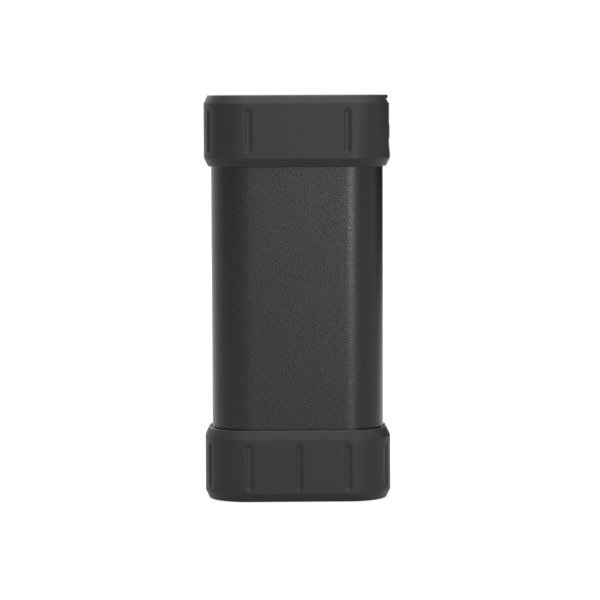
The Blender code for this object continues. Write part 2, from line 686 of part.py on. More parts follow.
def bottom_plug():
    """Hard housing that closes the tube's foot and holds the lower cell holder."""
    plug = tube_block("bottom_plug", FOOT_HOUSING_LOW, FOOT_HOUSING_TOP, material=HOUSING_PLASTIC)
    cut(plug, cavity_block("foot_cavity", FOOT_CAVITY_LOW, FOOT_HOUSING_TOP + OVERRUN))
    for side in (-1, 1):
        name = "foot_tongue_left" if side < 0 else "foot_tongue_right"
        join(plug, tongue(name, side, FOOT_HOUSING_TOP - OVERRUN, FOOT_HOUSING_TOP + TONGUE_REACH))
    for side in (-1, 1):
        y = side * PLUG_SCREW_SETBACK
        head_top = FOOT_HOUSING_LOW + PLUG_SCREW_HEAD_HEIGHT + 2 * FIT_GAP
        counterbore = rod(
            "plug_counterbore", (0, y, FOOT_HOUSING_LOW - OVERRUN), (0, y, head_top),
            PLUG_SCREW_HEAD_RADIUS + FIT_GAP)
        shank = rod(
            "plug_shank_hole", (0, y, head_top - JOINT_OVERLAP), (0, y, FOOT_CAVITY_LOW + OVERRUN),
            PLUG_SCREW_RADIUS + FIT_GAP, steps=SMALL_ROUND_STEPS)
        cut(plug, counterbore, shank)


def top_frame():
    """Hard housing that closes the tube's top and carries the ports, the button and the board."""
    frame = tube_block("top_frame", TOP_HOUSING_LOW, TOP_HOUSING_TOP, material=HOUSING_PLASTIC)
    cut(frame, cavity_block("top_cavity", TOP_HOUSING_LOW - OVERRUN, CEILING))
    for side in (-1, 1):
        name = "top_tongue_left" if side < 0 else "top_tongue_right"
        join(frame, tongue(name, side, TOP_HOUSING_LOW - TONGUE_REACH, TOP_HOUSING_LOW + OVERRUN))
    for name, x in (("left_leg", BOARD_SCREW_LEFT), ("right_leg", BOARD_SCREW_RIGHT)):
        near = BOARD_BACK + FIT_GAP
        leg = block(
            name, (x - LEG_WIDTH / 2, near, BOARD_SCREW_Z - LEG_BELOW_SCREW),
            (x + LEG_WIDTH / 2, near + LEG_DEPTH, CEILING + JOINT_OVERLAP))
        join(frame, leg)
        far = near + LEG_DEPTH + OVERRUN
        pilot = rod(
            name + "_pilot", (x, near - OVERRUN, BOARD_SCREW_Z), (x, far, BOARD_SCREW_Z),
            BOARD_SCREW_RADIUS + FIT_GAP, steps=SMALL_ROUND_STEPS)
        cut(frame, pilot)

    a_x = USB_A_WIDTH / 2 + FIT_GAP
    a_y = USB_A_HEIGHT / 2 + FIT_GAP
    c_x = USB_C_WIDTH / 2 + FIT_GAP
    c_y = USB_C_HEIGHT / 2 + FIT_GAP
    low = CEILING - OVERRUN
    high = TOP_HOUSING_TOP + OVERRUN
    c_low = (USB_C_X - c_x, USB_C_Y - c_y, low)
    c_high = (USB_C_X + c_x, USB_C_Y + c_y, high)
    cut(frame,
        block("usb_a_aperture", (USB_A_X - a_x, -a_y, low), (USB_A_X + a_x, a_y, high), PORT_WALL),
        block("usb_c_aperture", c_low, c_high, c_y),
        rod("root_stud_hole", (ROOT_X, 0, low), (ROOT_X, 0, high), ROOT_STUD_RADIUS + FIT_GAP))

    pocket_y = FLANGE_HALF_WIDTH + FIT_GAP
    pocket_z = BUTTON_HEIGHT / 2 + FLANGE_LIP + FIT_GAP
    pocket = block(
        "flange_pocket", (POCKET_FLOOR, -pocket_y, BUTTON_Z - pocket_z),
        (TUBE_X + OVERRUN, pocket_y, BUTTON_Z + pocket_z), BUTTON_CORNER + FLANGE_LIP, axis=0)
    stem_hole = rod(
        "stem_hole", (CAVITY_X - OVERRUN, 0, BUTTON_Z), (POCKET_FLOOR + OVERRUN, 0, BUTTON_Z),
        STEM_RADIUS + FIT_GAP)
    cut(frame, pocket, stem_hole, light_holes("frame_light_holes", LIGHT_PLATE_RIGHT))


def seal(name, low):
    """A flat ring of silicone between the tube's end and a housing."""
    ring = tube_block(name, low, low + SEAL_THICKNESS, material=SEAL_RUBBER)
    cut(ring, tube_block(name + "_inside", low - OVERRUN, low + SEAL_THICKNESS + OVERRUN, TUBE_WALL))


def port_cover():
    """Rubber flap over the ports, with its pull tab and a plug for each port."""
    cover = block(
        "port_cover", (COVER_LEFT, -COVER_DEPTH / 2, COVER_LOW),
        (COVER_RIGHT, COVER_DEPTH / 2, OVERALL_HEIGHT), COVER_CORNER, material=COVER_RUBBER)
    tab_tip = BUMPER_X - TOP_RIM_BEVEL + PULL_TAB_PROUD
    tab = block(
        "pull_tab", (COVER_RIGHT - PULL_TAB_ROOT, -PULL_TAB_WIDTH / 2, OVERALL_HEIGHT - PULL_TAB_THICKNESS),
        (tab_tip, PULL_TAB_WIDTH / 2, OVERALL_HEIGHT), PULL_TAB_CORNER)
    low = PORT_MOUTH - COVER_PLUG_REACH
    high = COVER_LOW + PULL_TAB_THICKNESS
    inset = PORT_WALL + COVER_PLUG_GAP
    a_x = USB_A_WIDTH / 2 - inset
    a_y = USB_A_HEIGHT / 2 - inset
    c_x = USB_C_WIDTH / 2 - inset
    c_y = USB_C_HEIGHT / 2 - inset
    plug_a = block("usb_a_cover_plug", (USB_A_X - a_x, -a_y, low), (USB_A_X + a_x, a_y, high), PORT_WALL)
    plug_c = block(
        "usb_c_cover_plug", (USB_C_X - c_x, USB_C_Y - c_y, low), (USB_C_X + c_x, USB_C_Y + c_y, high), c_y)
    join(cover, tab, plug_a, plug_c)
    set_origin(cover, (HINGE_X, 0, OVERALL_HEIGHT))


def port_cover_root():
    """The flap's anchored end: a strip in the same window, held by a barbed stud in the housing."""
    root = block(
        "port_cover_root", (ROOT_LEFT, -COVER_DEPTH / 2, COVER_LOW),
        (ROOT_RIGHT, COVER_DEPTH / 2, OVERALL_HEIGHT), COVER_CORNER, material=COVER_RUBBER)
    barb_top = CEILING - FIT_GAP
    stud_top = COVER_LOW + JOINT_OVERLAP
    stud = rod(
        "root_stud", (ROOT_X, 0, barb_top - JOINT_OVERLAP), (ROOT_X, 0, stud_top), ROOT_STUD_RADIUS)
    barb = rod(
        "root_barb", (ROOT_X, 0, barb_top - ROOT_BARB_HEIGHT), (ROOT_X, 0, barb_top), ROOT_BARB_RADIUS)
    join(root, stud, barb)


def power_button():
    """Button pushed in from the right: a face, a flange that keeps it in, and a stem."""
    half_y = BUTTON_WIDTH / 2
    half_z = BUTTON_HEIGHT / 2
    button = block(
        "power_button", (FLANGE_OUTER - JOINT_OVERLAP, -half_y, BUTTON_Z - half_z),
        (BUMPER_X + OVERRUN, half_y, BUTTON_Z + half_z), BUTTON_CORNER, axis=0, material=BUTTON_RUBBER)
    section = (BUTTON_FACE, BUMPER_Y - BUTTON_INSET, BUMPER_CORNER - BUTTON_INSET)
    trim = loft("button_trim", [(TOP_BUMPER_LOW, *section), (OVERALL_HEIGHT, *section)])
    combine(button, trim, "INTERSECT")
    half_z = half_z + FLANGE_LIP
    flange = block(
        "button_flange", (FLANGE_INNER, -FLANGE_HALF_WIDTH, BUTTON_Z - half_z),
        (FLANGE_OUTER, FLANGE_HALF_WIDTH, BUTTON_Z + half_z), BUTTON_CORNER + FLANGE_LIP, axis=0)
    stem_root = FLANGE_INNER + JOINT_OVERLAP
    stem = rod("button_stem", (STEM_TIP, 0, BUTTON_Z), (stem_root, 0, BUTTON_Z), STEM_RADIUS)
    join(button, flange, stem)
    set_origin(button, (BUTTON_FACE, 0, BUTTON_Z))


def button_switch():
    """Side-acting switch on the board's front, and the plunger that the button's stem pushes."""
    half = BOARD_FRONT - SOLDER_GAP
    body = block(
        "switch_body", (SWITCH_FACE - SWITCH_DEPTH, -half, BUTTON_Z - half),
        (SWITCH_FACE, half, BUTTON_Z + half), EDGE_SOFTENING, axis=0, material=SWITCH_BLACK)
    well = rod(
        "switch_well", (SWITCH_WELL_FLOOR, 0, BUTTON_Z), (SWITCH_FACE + OVERRUN, 0, BUTTON_Z),
        PLUNGER_RADIUS + SNUG_GAP)
    cut(body, well)
    plunger = rod(
        "switch_plunger", (PLUNGER_ROOT, 0, BUTTON_Z), (PLUNGER_TIP, 0, BUTTON_Z), PLUNGER_RADIUS,
        SWITCH_WHITE)
    set_origin(plunger, (PLUNGER_TIP, 0, BUTTON_Z))


def light_places():
    """Heights of the charge lights, evenly spaced about the housing's middle."""
    return [LIGHT_Z + (i - (LED_COUNT - 1) / 2) * LED_PITCH for i in range(LED_COUNT)]


def light_holes(name, start_x):
    """One cutter with a round hole for each light, running out to the right."""
    bm = bmesh.new()
    length = BUMPER_X + OVERRUN - start_x
    sideways = Matrix.Rotation(math.pi / 2, 4, "Y")
    for z in light_places():
        place = Matrix.Translation((start_x + length / 2, LIGHT_STUD_Y, z)) @ sideways
        bmesh.ops.create_cone(
            bm, cap_ends=True, segments=SMALL_ROUND_STEPS, radius1=LIGHT_STUD_RADIUS + FIT_GAP,
            radius2=LIGHT_STUD_RADIUS + FIT_GAP, depth=length, matrix=place)
    return add_object(name, mesh_from(bm, name))


def charge_lights():
    """Four lamps on the board's back, and the clear piece that leads their light outside."""
    heights = light_places()
    edge = LIGHT_PLATE_EDGE
    plate = block(
        "light_pipe", (LIGHT_PLATE_LEFT, BOARD_BACK + FIT_GAP, heights[0] - edge),
        (LIGHT_PLATE_RIGHT, LIGHT_PLATE_Y, heights[-1] + edge), EDGE_SOFTENING, axis=0,
        material=CLEAR_PLASTIC)
    far = side_surface_x(BUMPER_X, BUMPER_Y, BUMPER_CORNER, LIGHT_STUD_Y) - LIGHT_INSET
    for i, z in enumerate(heights):
        stud = rod(
            "light_stud", (LIGHT_PLATE_RIGHT - JOINT_OVERLAP, LIGHT_STUD_Y, z), (far, LIGHT_STUD_Y, z),
            LIGHT_STUD_RADIUS, steps=SMALL_ROUND_STEPS)
        join(plate, stud)
        half = LED_SIZE / 2
        block(
            f"indicator_led_{i + 1}", (LED_X - half, LED_Y - half, z - half),
            (LED_X + half, LED_Y + half, z + half), EDGE_SOFTENING, axis=0, material=LAMP_WHITE)


def main_board():
    """Board that stands across the tube, with a hole for each screw."""
    board = block(
        "main_board", (-BOARD_X, BOARD_FRONT, BOARD_LOW), (BOARD_X, BOARD_BACK, BOARD_TOP),
        PLATE_CORNER, axis=1, material=BOARD_GREEN)
    for x in (BOARD_SCREW_LEFT, BOARD_SCREW_RIGHT):
        cut(board, rod(
            "board_screw_hole", (x, BOARD_FRONT - OVERRUN, BOARD_SCREW_Z),
            (x, BOARD_BACK + OVERRUN, BOARD_SCREW_Z), BOARD_SCREW_RADIUS + FIT_GAP,
            steps=SMALL_ROUND_STEPS))


def port(name, x, y, width, height, length, corner, blade):
    """A port: its steel shell, and the plastic base and tongue inside it."""
    half_x = width / 2
    half_y = height / 2
    low = PORT_MOUTH - length
    shell = block(
        name + "_shell", (x - half_x, y - half_y, low), (x + half_x, y + half_y, PORT_MOUTH),
        corner, material=PORT_STEEL)
    inner_x = half_x - PORT_WALL
    inner_y = half_y - PORT_WALL
    cut(shell, block(
        name + "_bore", (x - inner_x, y - inner_y, low - OVERRUN),
        (x + inner_x, y + inner_y, PORT_MOUTH + OVERRUN), corner - PORT_WALL))
    base_x = inner_x - SNUG_GAP
    base_y = inner_y - SNUG_GAP
    base = block(
        name + "_tongue", (x - base_x, y - base_y, low), (x + base_x, y + base_y, low + PORT_BASE),
        corner - PORT_WALL, material=PORT_PLASTIC)
    blade_x = inner_x - PORT_TONGUE_ROOM
    join(base, block(
        name + "_blade", (x - blade_x, y - blade / 2, low + PORT_BASE - JOINT_OVERLAP),
        (x + blade_x, y + blade / 2, PORT_MOUTH - TONGUE_SINK)))


def board_place(shares):
    """A place on the board, from shares of its half width and of its height."""
    x_share, z_share = shares
    return x_share * BOARD_X, BOARD_LOW + z_share * (BOARD_TOP - BOARD_LOW)


def board_parts():
    """Chips, coil and capacitor, each placed by its shares of the board's width and height."""
    front = BOARD_FRONT - SOLDER_GAP
    back = BOARD_BACK + SOLDER_GAP
    for name, size, near, far, shares in (
            ("controller_chip", CHIP_SIZE, front - CHIP_THICKNESS, front, CONTROLLER_SHARES),
            ("charger_chip", CHARGER_SIZE, back, back + CHIP_THICKNESS, CHARGER_SHARES),
            ("heater_driver", DRIVER_SIZE, back, back + CHIP_THICKNESS, DRIVER_SHARES)):
        x, z = board_place(shares)
        block(
            name, (x - size / 2, near, z - size / 2), (x + size / 2, far, z + size / 2),
            EDGE_SOFTENING, axis=1, material=CHIP_BLACK)
    x, z = board_place(INDUCTOR_SHARES)
    half = INDUCTOR_SIZE / 2
    block(
        "inductor", (x - half, front - INDUCTOR_THICKNESS, z - half), (x + half, front, z + half),
        INDUCTOR_CORNER, axis=1, material=FERRITE)
    x, z = board_place(CAPACITOR_SHARES)
    far = HEATER_INNER_Y - CAPACITOR_HEADROOM
    rod("capacitor", (x, back, z), (x, far, z), CAPACITOR_RADIUS, CAN_METAL)


def cell(name, x):
    """A cylindrical cell: a wrapped can with rounded ends and a raised positive cap."""
    top = CELL_LENGTH - CELL_CAP_HEIGHT
    turned(name, [
        (0, CELL_LENGTH),
        (CELL_CAP_RADIUS - CELL_EDGE / 2, CELL_LENGTH),
        (CELL_CAP_RADIUS, CELL_LENGTH - CELL_EDGE / 2),
        (CELL_CAP_RADIUS, top),
        (CELL_RADIUS - CELL_EDGE, top),
        (CELL_RADIUS, top - CELL_EDGE),
        (CELL_RADIUS, CELL_EDGE),
        (CELL_RADIUS - CELL_EDGE, 0),
        (0, 0)], Matrix.Translation((x, 0, CELL_LOW)), CELL_WRAP, CELL_STEPS)


def cell_pockets(name, low, high):
    """One cutter with a round pocket for each cell."""
    bm = bmesh.new()
    for x in (-CELL_X, CELL_X):
        place = Matrix.Translation((x, 0, (low + high) / 2))
        bmesh.ops.create_cone(
            bm, cap_ends=True, segments=CELL_STEPS, radius1=CELL_RADIUS + FIT_GAP,
            radius2=CELL_RADIUS + FIT_GAP, depth=high - low, matrix=place)
    return add_object(name, mesh_from(bm, name))


def cell_channel(name, low, high):
    """The open middle between the two pockets, where the links and the riser pass."""
    half_y = RISER_SETBACK + RISER_WIDTH / 2 + SLOT_GAP
    return block(name, (-CELL_X, -half_y, low), (CELL_X, half_y, high))


def foot_slot(name, centre_y, width, low, high):
    """Room for the foot that joins a link to its upright strip."""
    half_x = LINK_FOOT_WIDTH / 2 + SLOT_GAP
    near, far = sorted((0, centre_y + math.copysign(width / 2 + SLOT_GAP, centre_y)))
    return block(name, (-half_x, near, low), (half_x, far, high))


def riser_slot(name, centre_y, width, low, high):
    """A narrow slot through a holder for an upright strip."""
    half_x = LINK_THICKNESS / 2 + SLOT_GAP
    half_y = width / 2 + SLOT_GAP
    return block(name, (-half_x, centre_y - half_y, low), (half_x, centre_y + half_y, high))


def holder_block(name, low, high):
    """A holder's outer form: the housing's hollow less a gap, planed flat where the pads lie."""
    section = (CAVITY_X - FIT_GAP, INNER_Y - FIT_GAP, INNER_CORNER - FIT_GAP)
    holder = loft(name, [(low, *section), (high, *section)], HOLDER_PLASTIC)
    planed = block(
        name + "_planed", (-TUBE_X, -CELL_RADIUS, low - OVERRUN), (TUBE_X, CELL_RADIUS, high + OVERRUN))
    return combine(holder, planed, "INTERSECT")


def lower_cell_holder():
    """Holder under the cells, screwed to the foot housing."""
    holder = holder_block("lower_cell_holder", LOW_HOLDER_LOW, LOW_HOLDER_TOP)
    plate_top = LOW_HOLDER_LOW + HOLDER_PLATE
    cut(holder,
        cell_pockets("low_pockets", plate_top, LOW_HOLDER_TOP + OVERRUN),
        cell_channel("low_channel", plate_top, LOW_HOLDER_TOP + OVERRUN))
    for side in (-1, 1):
        y = side * PLUG_SCREW_SETBACK
        tip = FOOT_HOUSING_LOW + PLUG_SCREW_HEAD_HEIGHT + PLUG_SCREW_LENGTH + OVERRUN
        cut(holder, rod(
            "low_pilot", (0, y, LOW_HOLDER_LOW - OVERRUN), (0, y, tip), PLUG_SCREW_RADIUS + FIT_GAP,
            steps=SMALL_ROUND_STEPS))


def upper_cell_holder():
    """Holder over the cells, with the rail that the board stands in."""
    holder = holder_block("upper_cell_holder", HIGH_HOLDER_LOW, HIGH_HOLDER_TOP)
    plate_low = HIGH_HOLDER_TOP - HOLDER_PLATE
    rail = block(
        "board_rail", (-RAIL_WIDTH / 2, BOARD_FRONT - FIT_GAP - RAIL_WALL, HIGH_HOLDER_TOP - OVERRUN),
        (RAIL_WIDTH / 2, BOARD_BACK + FIT_GAP + RAIL_WALL, RAIL_TOP))
    join(holder, rail)
    through = HIGH_HOLDER_TOP + OVERRUN
    cut(holder,
        block(
            "rail_slot", (-RAIL_WIDTH / 2 - OVERRUN, BOARD_FRONT - FIT_GAP, RAIL_TOP - RAIL_SLOT_DEPTH),
            (RAIL_WIDTH / 2 + OVERRUN, BOARD_BACK + FIT_GAP, RAIL_TOP + OVERRUN)),
        cell_pockets("high_pockets", HIGH_HOLDER_LOW - OVERRUN, plate_low),
        cell_channel("high_channel", HIGH_HOLDER_LOW - OVERRUN, plate_low),
        foot_slot("high_foot_slot", TAB_SETBACK, TAB_WIDTH, TOP_LINK_LOW - FIT_GAP, plate_low),
        riser_slot("high_riser_slot", -RISER_SETBACK, RISER_WIDTH, plate_low - FIT_GAP, through),
        riser_slot("high_tab_slot", TAB_SETBACK, TAB_WIDTH, plate_low - FIT_GAP, through))
    notch = SENSOR_WIRE_RADIUS + FIT_GAP
    cut(holder, block(
        "sensor_notch", (-notch, -CELL_RADIUS - OVERRUN, HIGH_HOLDER_LOW - OVERRUN),
        (notch, -SENSOR_SETBACK + notch, through)))


def cell_link(name, low, half_x, riser_y, riser_width):
    """A welded nickel link: a plate across both cells, a foot, and a strip that stands up from it."""
    high = low + LINK_THICKNESS
    half_y = LINK_WIDTH / 2
    link = block(name, (-half_x, -half_y, low), (half_x, half_y, high), material=NICKEL)
    near, far = sorted((0, riser_y + math.copysign(riser_width / 2, riser_y)))
    foot = block(name + "_foot", (-LINK_FOOT_WIDTH / 2, near, low), (LINK_FOOT_WIDTH / 2, far, high))
    riser = block(
        name + "_riser", (-LINK_THICKNESS / 2, riser_y - riser_width / 2, low + JOINT_OVERLAP),
        (LINK_THICKNESS / 2, riser_y + riser_width / 2, HIGH_HOLDER_TOP + RISER_STAND))
    join(link, foot, riser)


def cell_links():
    """The link under the cells, whose riser runs up between them, and the one over them."""
    cell_link("nickel_strip_bottom", LOW_LINK_LOW, CELL_X + CELL_CAP_RADIUS, -RISER_SETBACK, RISER_WIDTH)
    cell_link("nickel_strip_top", TOP_LINK_LOW, CELL_X + CELL_CAP_RADIUS, TAB_SETBACK, TAB_WIDTH)


def pads_and_heaters():
    """A soft pad on each flat side of the cells, and the film heater between it and the tube."""
    for side, name in ((-1, "front"), (1, "back")):
        low, high = sorted((side * PAD_INNER_Y, side * PAD_OUTER_Y))
        block(
            f"insulation_pad_{name}", (-TUBE_FLAT_X, low, CELL_LOW + PAD_END_ROOM),
            (TUBE_FLAT_X, high, CELL_TOP - PAD_END_ROOM), PLATE_CORNER, axis=1, material=PAD_FOAM)
        half_x = TUBE_FLAT_X - HEATER_EDGE_ROOM
        low, high = sorted((side * HEATER_INNER_Y, side * HEATER_OUTER_Y))
        block(
            f"heater_film_{name}", (-half_x, low, TUBE_LOW + HEATER_LOW_ROOM),
            (half_x, high, TUBE_TOP - HEATER_HIGH_ROOM), PLATE_CORNER, axis=1, material=HEATER_FILM)


def screw(name, head, towards, radius, head_radius, head_height, length):
    """A pan head screw with a six-sided socket. The head's outer face is at the given point."""
    soft = head_height / 4
    turn = Vector(towards).to_track_quat("-Z", "Y").to_matrix().to_4x4()
    place = Matrix.Translation(Vector(head)) @ turn
    obj = turned(name, [
        (0, 0),
        (head_radius - soft, 0),
        (head_radius, -soft),
        (head_radius, -head_height),
        (radius, -head_height),
        (radius, -head_height - length + radius / 2),
        (radius / 2, -head_height - length),
        (0, -head_height - length)], place, SCREW_STEEL, SCREW_STEPS)
    depth = head_height * SCREW_SOCKET_SHARE
    start = place @ Vector((0, 0, OVERRUN))
    end = place @ Vector((0, 0, -depth))
    cut(obj, rod(name + "_socket", start, end, head_radius * SCREW_SOCKET_SHARE, steps=SOCKET_SIDES))


def screws():
    """Two screws up through the foot housing, and two through the board."""
    for side, name in ((-1, "front"), (1, "back")):
        head = (0, side * PLUG_SCREW_SETBACK, FOOT_HOUSING_LOW + FIT_GAP)
        screw(
            f"plug_screw_{name}", head, (0, 0, 1), PLUG_SCREW_RADIUS, PLUG_SCREW_HEAD_RADIUS,
            PLUG_SCREW_HEAD_HEIGHT, PLUG_SCREW_LENGTH)
    for x, name in ((BOARD_SCREW_LEFT, "left"), (BOARD_SCREW_RIGHT, "right")):
        head = (x, BOARD_FRONT - FIT_GAP - BOARD_SCREW_HEAD_HEIGHT, BOARD_SCREW_Z)
        screw(
            f"board_screw_{name}", head, (0, 1, 0), BOARD_SCREW_RADIUS, BOARD_SCREW_HEAD_RADIUS,
            BOARD_SCREW_HEAD_HEIGHT, BOARD_SCREW_LENGTH)


def wires():
    """Leads from the cells, the heaters and the sensor to the board."""
    stand = HIGH_HOLDER_TOP + RISER_STAND
    rise = stand + FIT_GAP + POWER_WIRE_RADIUS
    bend = WIRE_BEND
    front = BOARD_FRONT - FIT_GAP
    back = BOARD_BACK + FIT_GAP
    wire("battery_wire_black", [
        (0, -RISER_SETBACK, rise), (-bend, -RISER_SETBACK, rise + bend),
        (-2 * bend, -bend, WIRE_PAD_Z), (-2 * bend, front, WIRE_PAD_Z)], POWER_WIRE_RADIUS, WIRE_BLACK)
    wire("battery_wire_red", [
        (0, TAB_SETBACK, rise), (bend, TAB_SETBACK, rise + bend),
        (2 * bend, back + bend, WIRE_PAD_Z), (2 * bend, back, WIRE_PAD_Z)], POWER_WIRE_RADIUS, WIRE_RED)
    for side, name, face, first_x in (
            (-1, "front", front, -BOARD_X + 2 * HEATER_WIRE_PITCH),
            (1, "back", back, BOARD_X - 3 * HEATER_WIRE_PITCH)):
        film = side * (HEATER_INNER_Y - FIT_GAP)
        middle = (film + face) / 2
        slack = HEATER_WIRE_BEND_SHARE * abs(film - face)
        for i in range(2):
            x = first_x + i * HEATER_WIRE_PITCH
            z = WIRE_PAD_Z
            wire(f"heater_wire_{name}_{i + 1}", [
                (x, film, z), (x, film - side * slack, z), (x, middle, z + slack),
                (x, face + side * slack, z), (x, face, z)], HEATER_WIRE_RADIUS, WIRE_WHITE)


def temperature_sensor():
    """Sensor bead in the valley between the cells, under the front pad, and its lead."""
    z = (CELL_LOW + CELL_TOP) / 2
    half = SENSOR_LENGTH / 2
    rod(
        "thermistor", (0, -SENSOR_SETBACK, z - half), (0, -SENSOR_SETBACK, z + half), SENSOR_RADIUS,
        SENSOR_BLACK, SMALL_ROUND_STEPS)
    bend = WIRE_BEND
    wire("thermistor_lead", [
        (0, -SENSOR_SETBACK, z + half + FIT_GAP), (0, -SENSOR_SETBACK, HIGH_HOLDER_LOW),
        (0, -SENSOR_SETBACK, HIGH_HOLDER_TOP), (bend, -SENSOR_SETBACK, WIRE_PAD_Z - bend),
        (bend, -bend, WIRE_PAD_Z), (bend, BOARD_FRONT - FIT_GAP, WIRE_PAD_Z)],
        SENSOR_WIRE_RADIUS, WIRE_WHITE)


def even_shading():
    """Weight the normals of every cut or joined solid by face size, so that flat faces look flat."""
    for obj in PARTS.objects:
        if obj.type == "MESH" and obj.modifiers:
            modifier = obj.modifiers.new("even_shading", "WEIGHTED_NORMAL")
            modifier.keep_sharp = True


body_shell()
top_bumper()
bottom_bumper()
bottom_plug()
top_frame()
seal("bottom_gasket", FOOT_SEAL_LOW)
seal("top_gasket", TUBE_TOP + FIT_GAP)
port_cover()
port_cover_root()
power_button()
button_switch()
charge_lights()
main_board()
port("usb_a", USB_A_X, 0, USB_A_WIDTH, USB_A_HEIGHT, USB_A_LENGTH, USB_A_CORNER, USB_A_TONGUE)
port("usb_c", USB_C_X, USB_C_Y, USB_C_WIDTH, USB_C_HEIGHT, USB_C_LENGTH, USB_C_HEIGHT / 2, USB_C_TONGUE)
board_parts()
cell("battery_cell_left", -CELL_X)
cell("battery_cell_right", CELL_X)
lower_cell_holder()
upper_cell_holder()
cell_links()
pads_and_heaters()
screws()
wires()
temperature_sensor()
even_shading()
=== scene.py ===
"""Looks of a rechargeable hand warmer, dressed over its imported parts. Metres, +Z up."""
import math

import bpy
import numpy as np
from mathutils import Matrix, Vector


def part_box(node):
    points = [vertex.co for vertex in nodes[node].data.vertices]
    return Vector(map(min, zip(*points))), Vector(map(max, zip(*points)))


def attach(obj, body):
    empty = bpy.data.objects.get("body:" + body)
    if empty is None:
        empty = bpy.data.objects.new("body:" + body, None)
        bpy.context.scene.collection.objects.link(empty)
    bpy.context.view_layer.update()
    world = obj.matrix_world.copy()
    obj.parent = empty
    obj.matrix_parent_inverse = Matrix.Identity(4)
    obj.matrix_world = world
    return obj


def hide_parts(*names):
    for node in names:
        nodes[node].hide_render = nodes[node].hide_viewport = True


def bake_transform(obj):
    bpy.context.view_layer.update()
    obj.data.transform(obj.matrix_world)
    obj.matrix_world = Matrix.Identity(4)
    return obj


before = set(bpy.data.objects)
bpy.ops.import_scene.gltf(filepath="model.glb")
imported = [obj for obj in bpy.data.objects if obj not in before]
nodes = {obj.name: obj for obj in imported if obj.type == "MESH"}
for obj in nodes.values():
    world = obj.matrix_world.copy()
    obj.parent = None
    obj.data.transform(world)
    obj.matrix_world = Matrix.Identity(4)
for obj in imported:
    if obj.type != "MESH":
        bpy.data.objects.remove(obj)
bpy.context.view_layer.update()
scene = bpy.context.scene

# Camera
# A long lens, a little above the warmer and a little to its left, held level to a quarter of a degree.
CAMERA_AZIMUTH = math.radians(-1.330)
CAMERA_PITCH = math.radians(4.414)
CAMERA_ROLL = math.radians(0.200)
CAMERA_DISTANCE = 0.8036
CAMERA_AIM_RIGHT = 0.000784
CAMERA_AIM_HEIGHT = 0.055952
CAMERA_LENS = 169.33
CAMERA_NEAR = 0.01
SENSOR_WIDTH = 36.0


def camera_axes(azimuth, pitch, roll):
    """Right, up and back vectors of a camera at an azimuth and a pitch, turned about its own axis."""
    right = np.array([math.cos(azimuth), math.sin(azimuth), 0.0])
    back = np.array([
        math.sin(azimuth) * math.cos(pitch), -math.cos(azimuth) * math.cos(pitch), math.sin(pitch)])
    up = np.cross(back, right)
    return (right * math.cos(roll) - up * math.sin(roll),
            right * math.sin(roll) + up * math.cos(roll), back)


right, up, back = camera_axes(CAMERA_AZIMUTH, CAMERA_PITCH, CAMERA_ROLL)
level_right = np.array([math.cos(CAMERA_AZIMUTH), math.sin(CAMERA_AZIMUTH), 0.0])
place = CAMERA_AIM_RIGHT * level_right + [0.0, 0.0, CAMERA_AIM_HEIGHT] + CAMERA_DISTANCE * back
camera = bpy.data.objects.new("camera", bpy.data.cameras.new("camera"))
camera.data.lens = CAMERA_LENS
camera.data.sensor_width = SENSOR_WIDTH
camera.data.clip_start = CAMERA_NEAR
camera.matrix_world = Matrix(np.vstack([np.column_stack([right, up, back, place]), [0, 0, 0, 1]]).tolist())
scene.collection.objects.link(camera)
scene.camera = camera
scene.view_settings.view_transform = "Standard"


# Studio
# White surroundings that only the eye and reflections see at full strength, a pale floor, a large soft
# box overhead, a tall narrow one in front to the right, a small one above it and one behind. A black
# card behind to the right and a pale grey one to the left darken what the tube's corners mirror.
class Socket:
    """A shader node's output. Sums and products of sockets and numbers add Math nodes."""

    def __init__(self, tree, output=None):
        self.tree = tree
        self.output = output

    def node(self, kind, settings=None, inputs=None, output=0):
        """Add a node: its settings first, then its inputs' values or links. Returns one of its outputs."""
        made = self.tree.nodes.new(kind)
        for name, value in (settings or {}).items():
            setattr(made, name, value)
        for name, value in (inputs or {}).items():
            if isinstance(value, Socket):
                self.tree.links.new(value.output, made.inputs[name])
            else:
                made.inputs[name].default_value = value
        return Socket(self.tree, made.outputs[output])

    def math(self, operation, *values):
        """A Math node on this socket and up to two more values."""
        inputs = dict(enumerate((self, *values)))
        return self.node("ShaderNodeMath", {"operation": operation}, inputs)

    def feed(self, principled, name):
        """Link this socket to a shader's input."""
        self.tree.links.new(self.output, principled.inputs[name])

    def __add__(self, other):
        return self.math("ADD", other)

    def __mul__(self, other):
        return self.math("MULTIPLY", other)

    def __sub__(self, other):
        return self.math("SUBTRACT", other)

    def __rsub__(self, other):
        return (self * -1.0).math("ADD", other)

    __radd__ = __add__
    __rmul__ = __mul__


WORLD_DIFFUSE_LEVEL = 0.08
WORLD_WHITE_LEVEL = 1.0
FLOOR_SIZE = 6.0
FLOOR_DROP = 0.0001
FLOOR_COLOUR = (0.30, 0.30, 0.30, 1)
FLOOR_GLOW = 0.80
FLOOR_FAR_GLOW = 1.05
FLOOR_GLOW_START = 0.10
FLOOR_GLOW_END = 0.45
LAMP_DISTANCE = 1.0
CARD_DISTANCE = 0.60
CARD_HEIGHT = 0.50
CARD_BLACK = (0, 0, 0, 1)


def any_of(*masks):
    """One where any of some masks is one: the greatest of them."""
    whole = masks[0]
    for mask in masks[1:]:
        whole = whole.math("MAXIMUM", mask)
    return whole


def ramp(value, low, high, start=0.0, end=1.0):
    """Rise smoothly from start to end while a value goes from low to high."""
    inputs = {"Value": value, "From Min": low, "From Max": high, "To Min": start, "To Max": end}
    return value.node("ShaderNodeMapRange", {"interpolation_type": "SMOOTHSTEP"}, inputs)


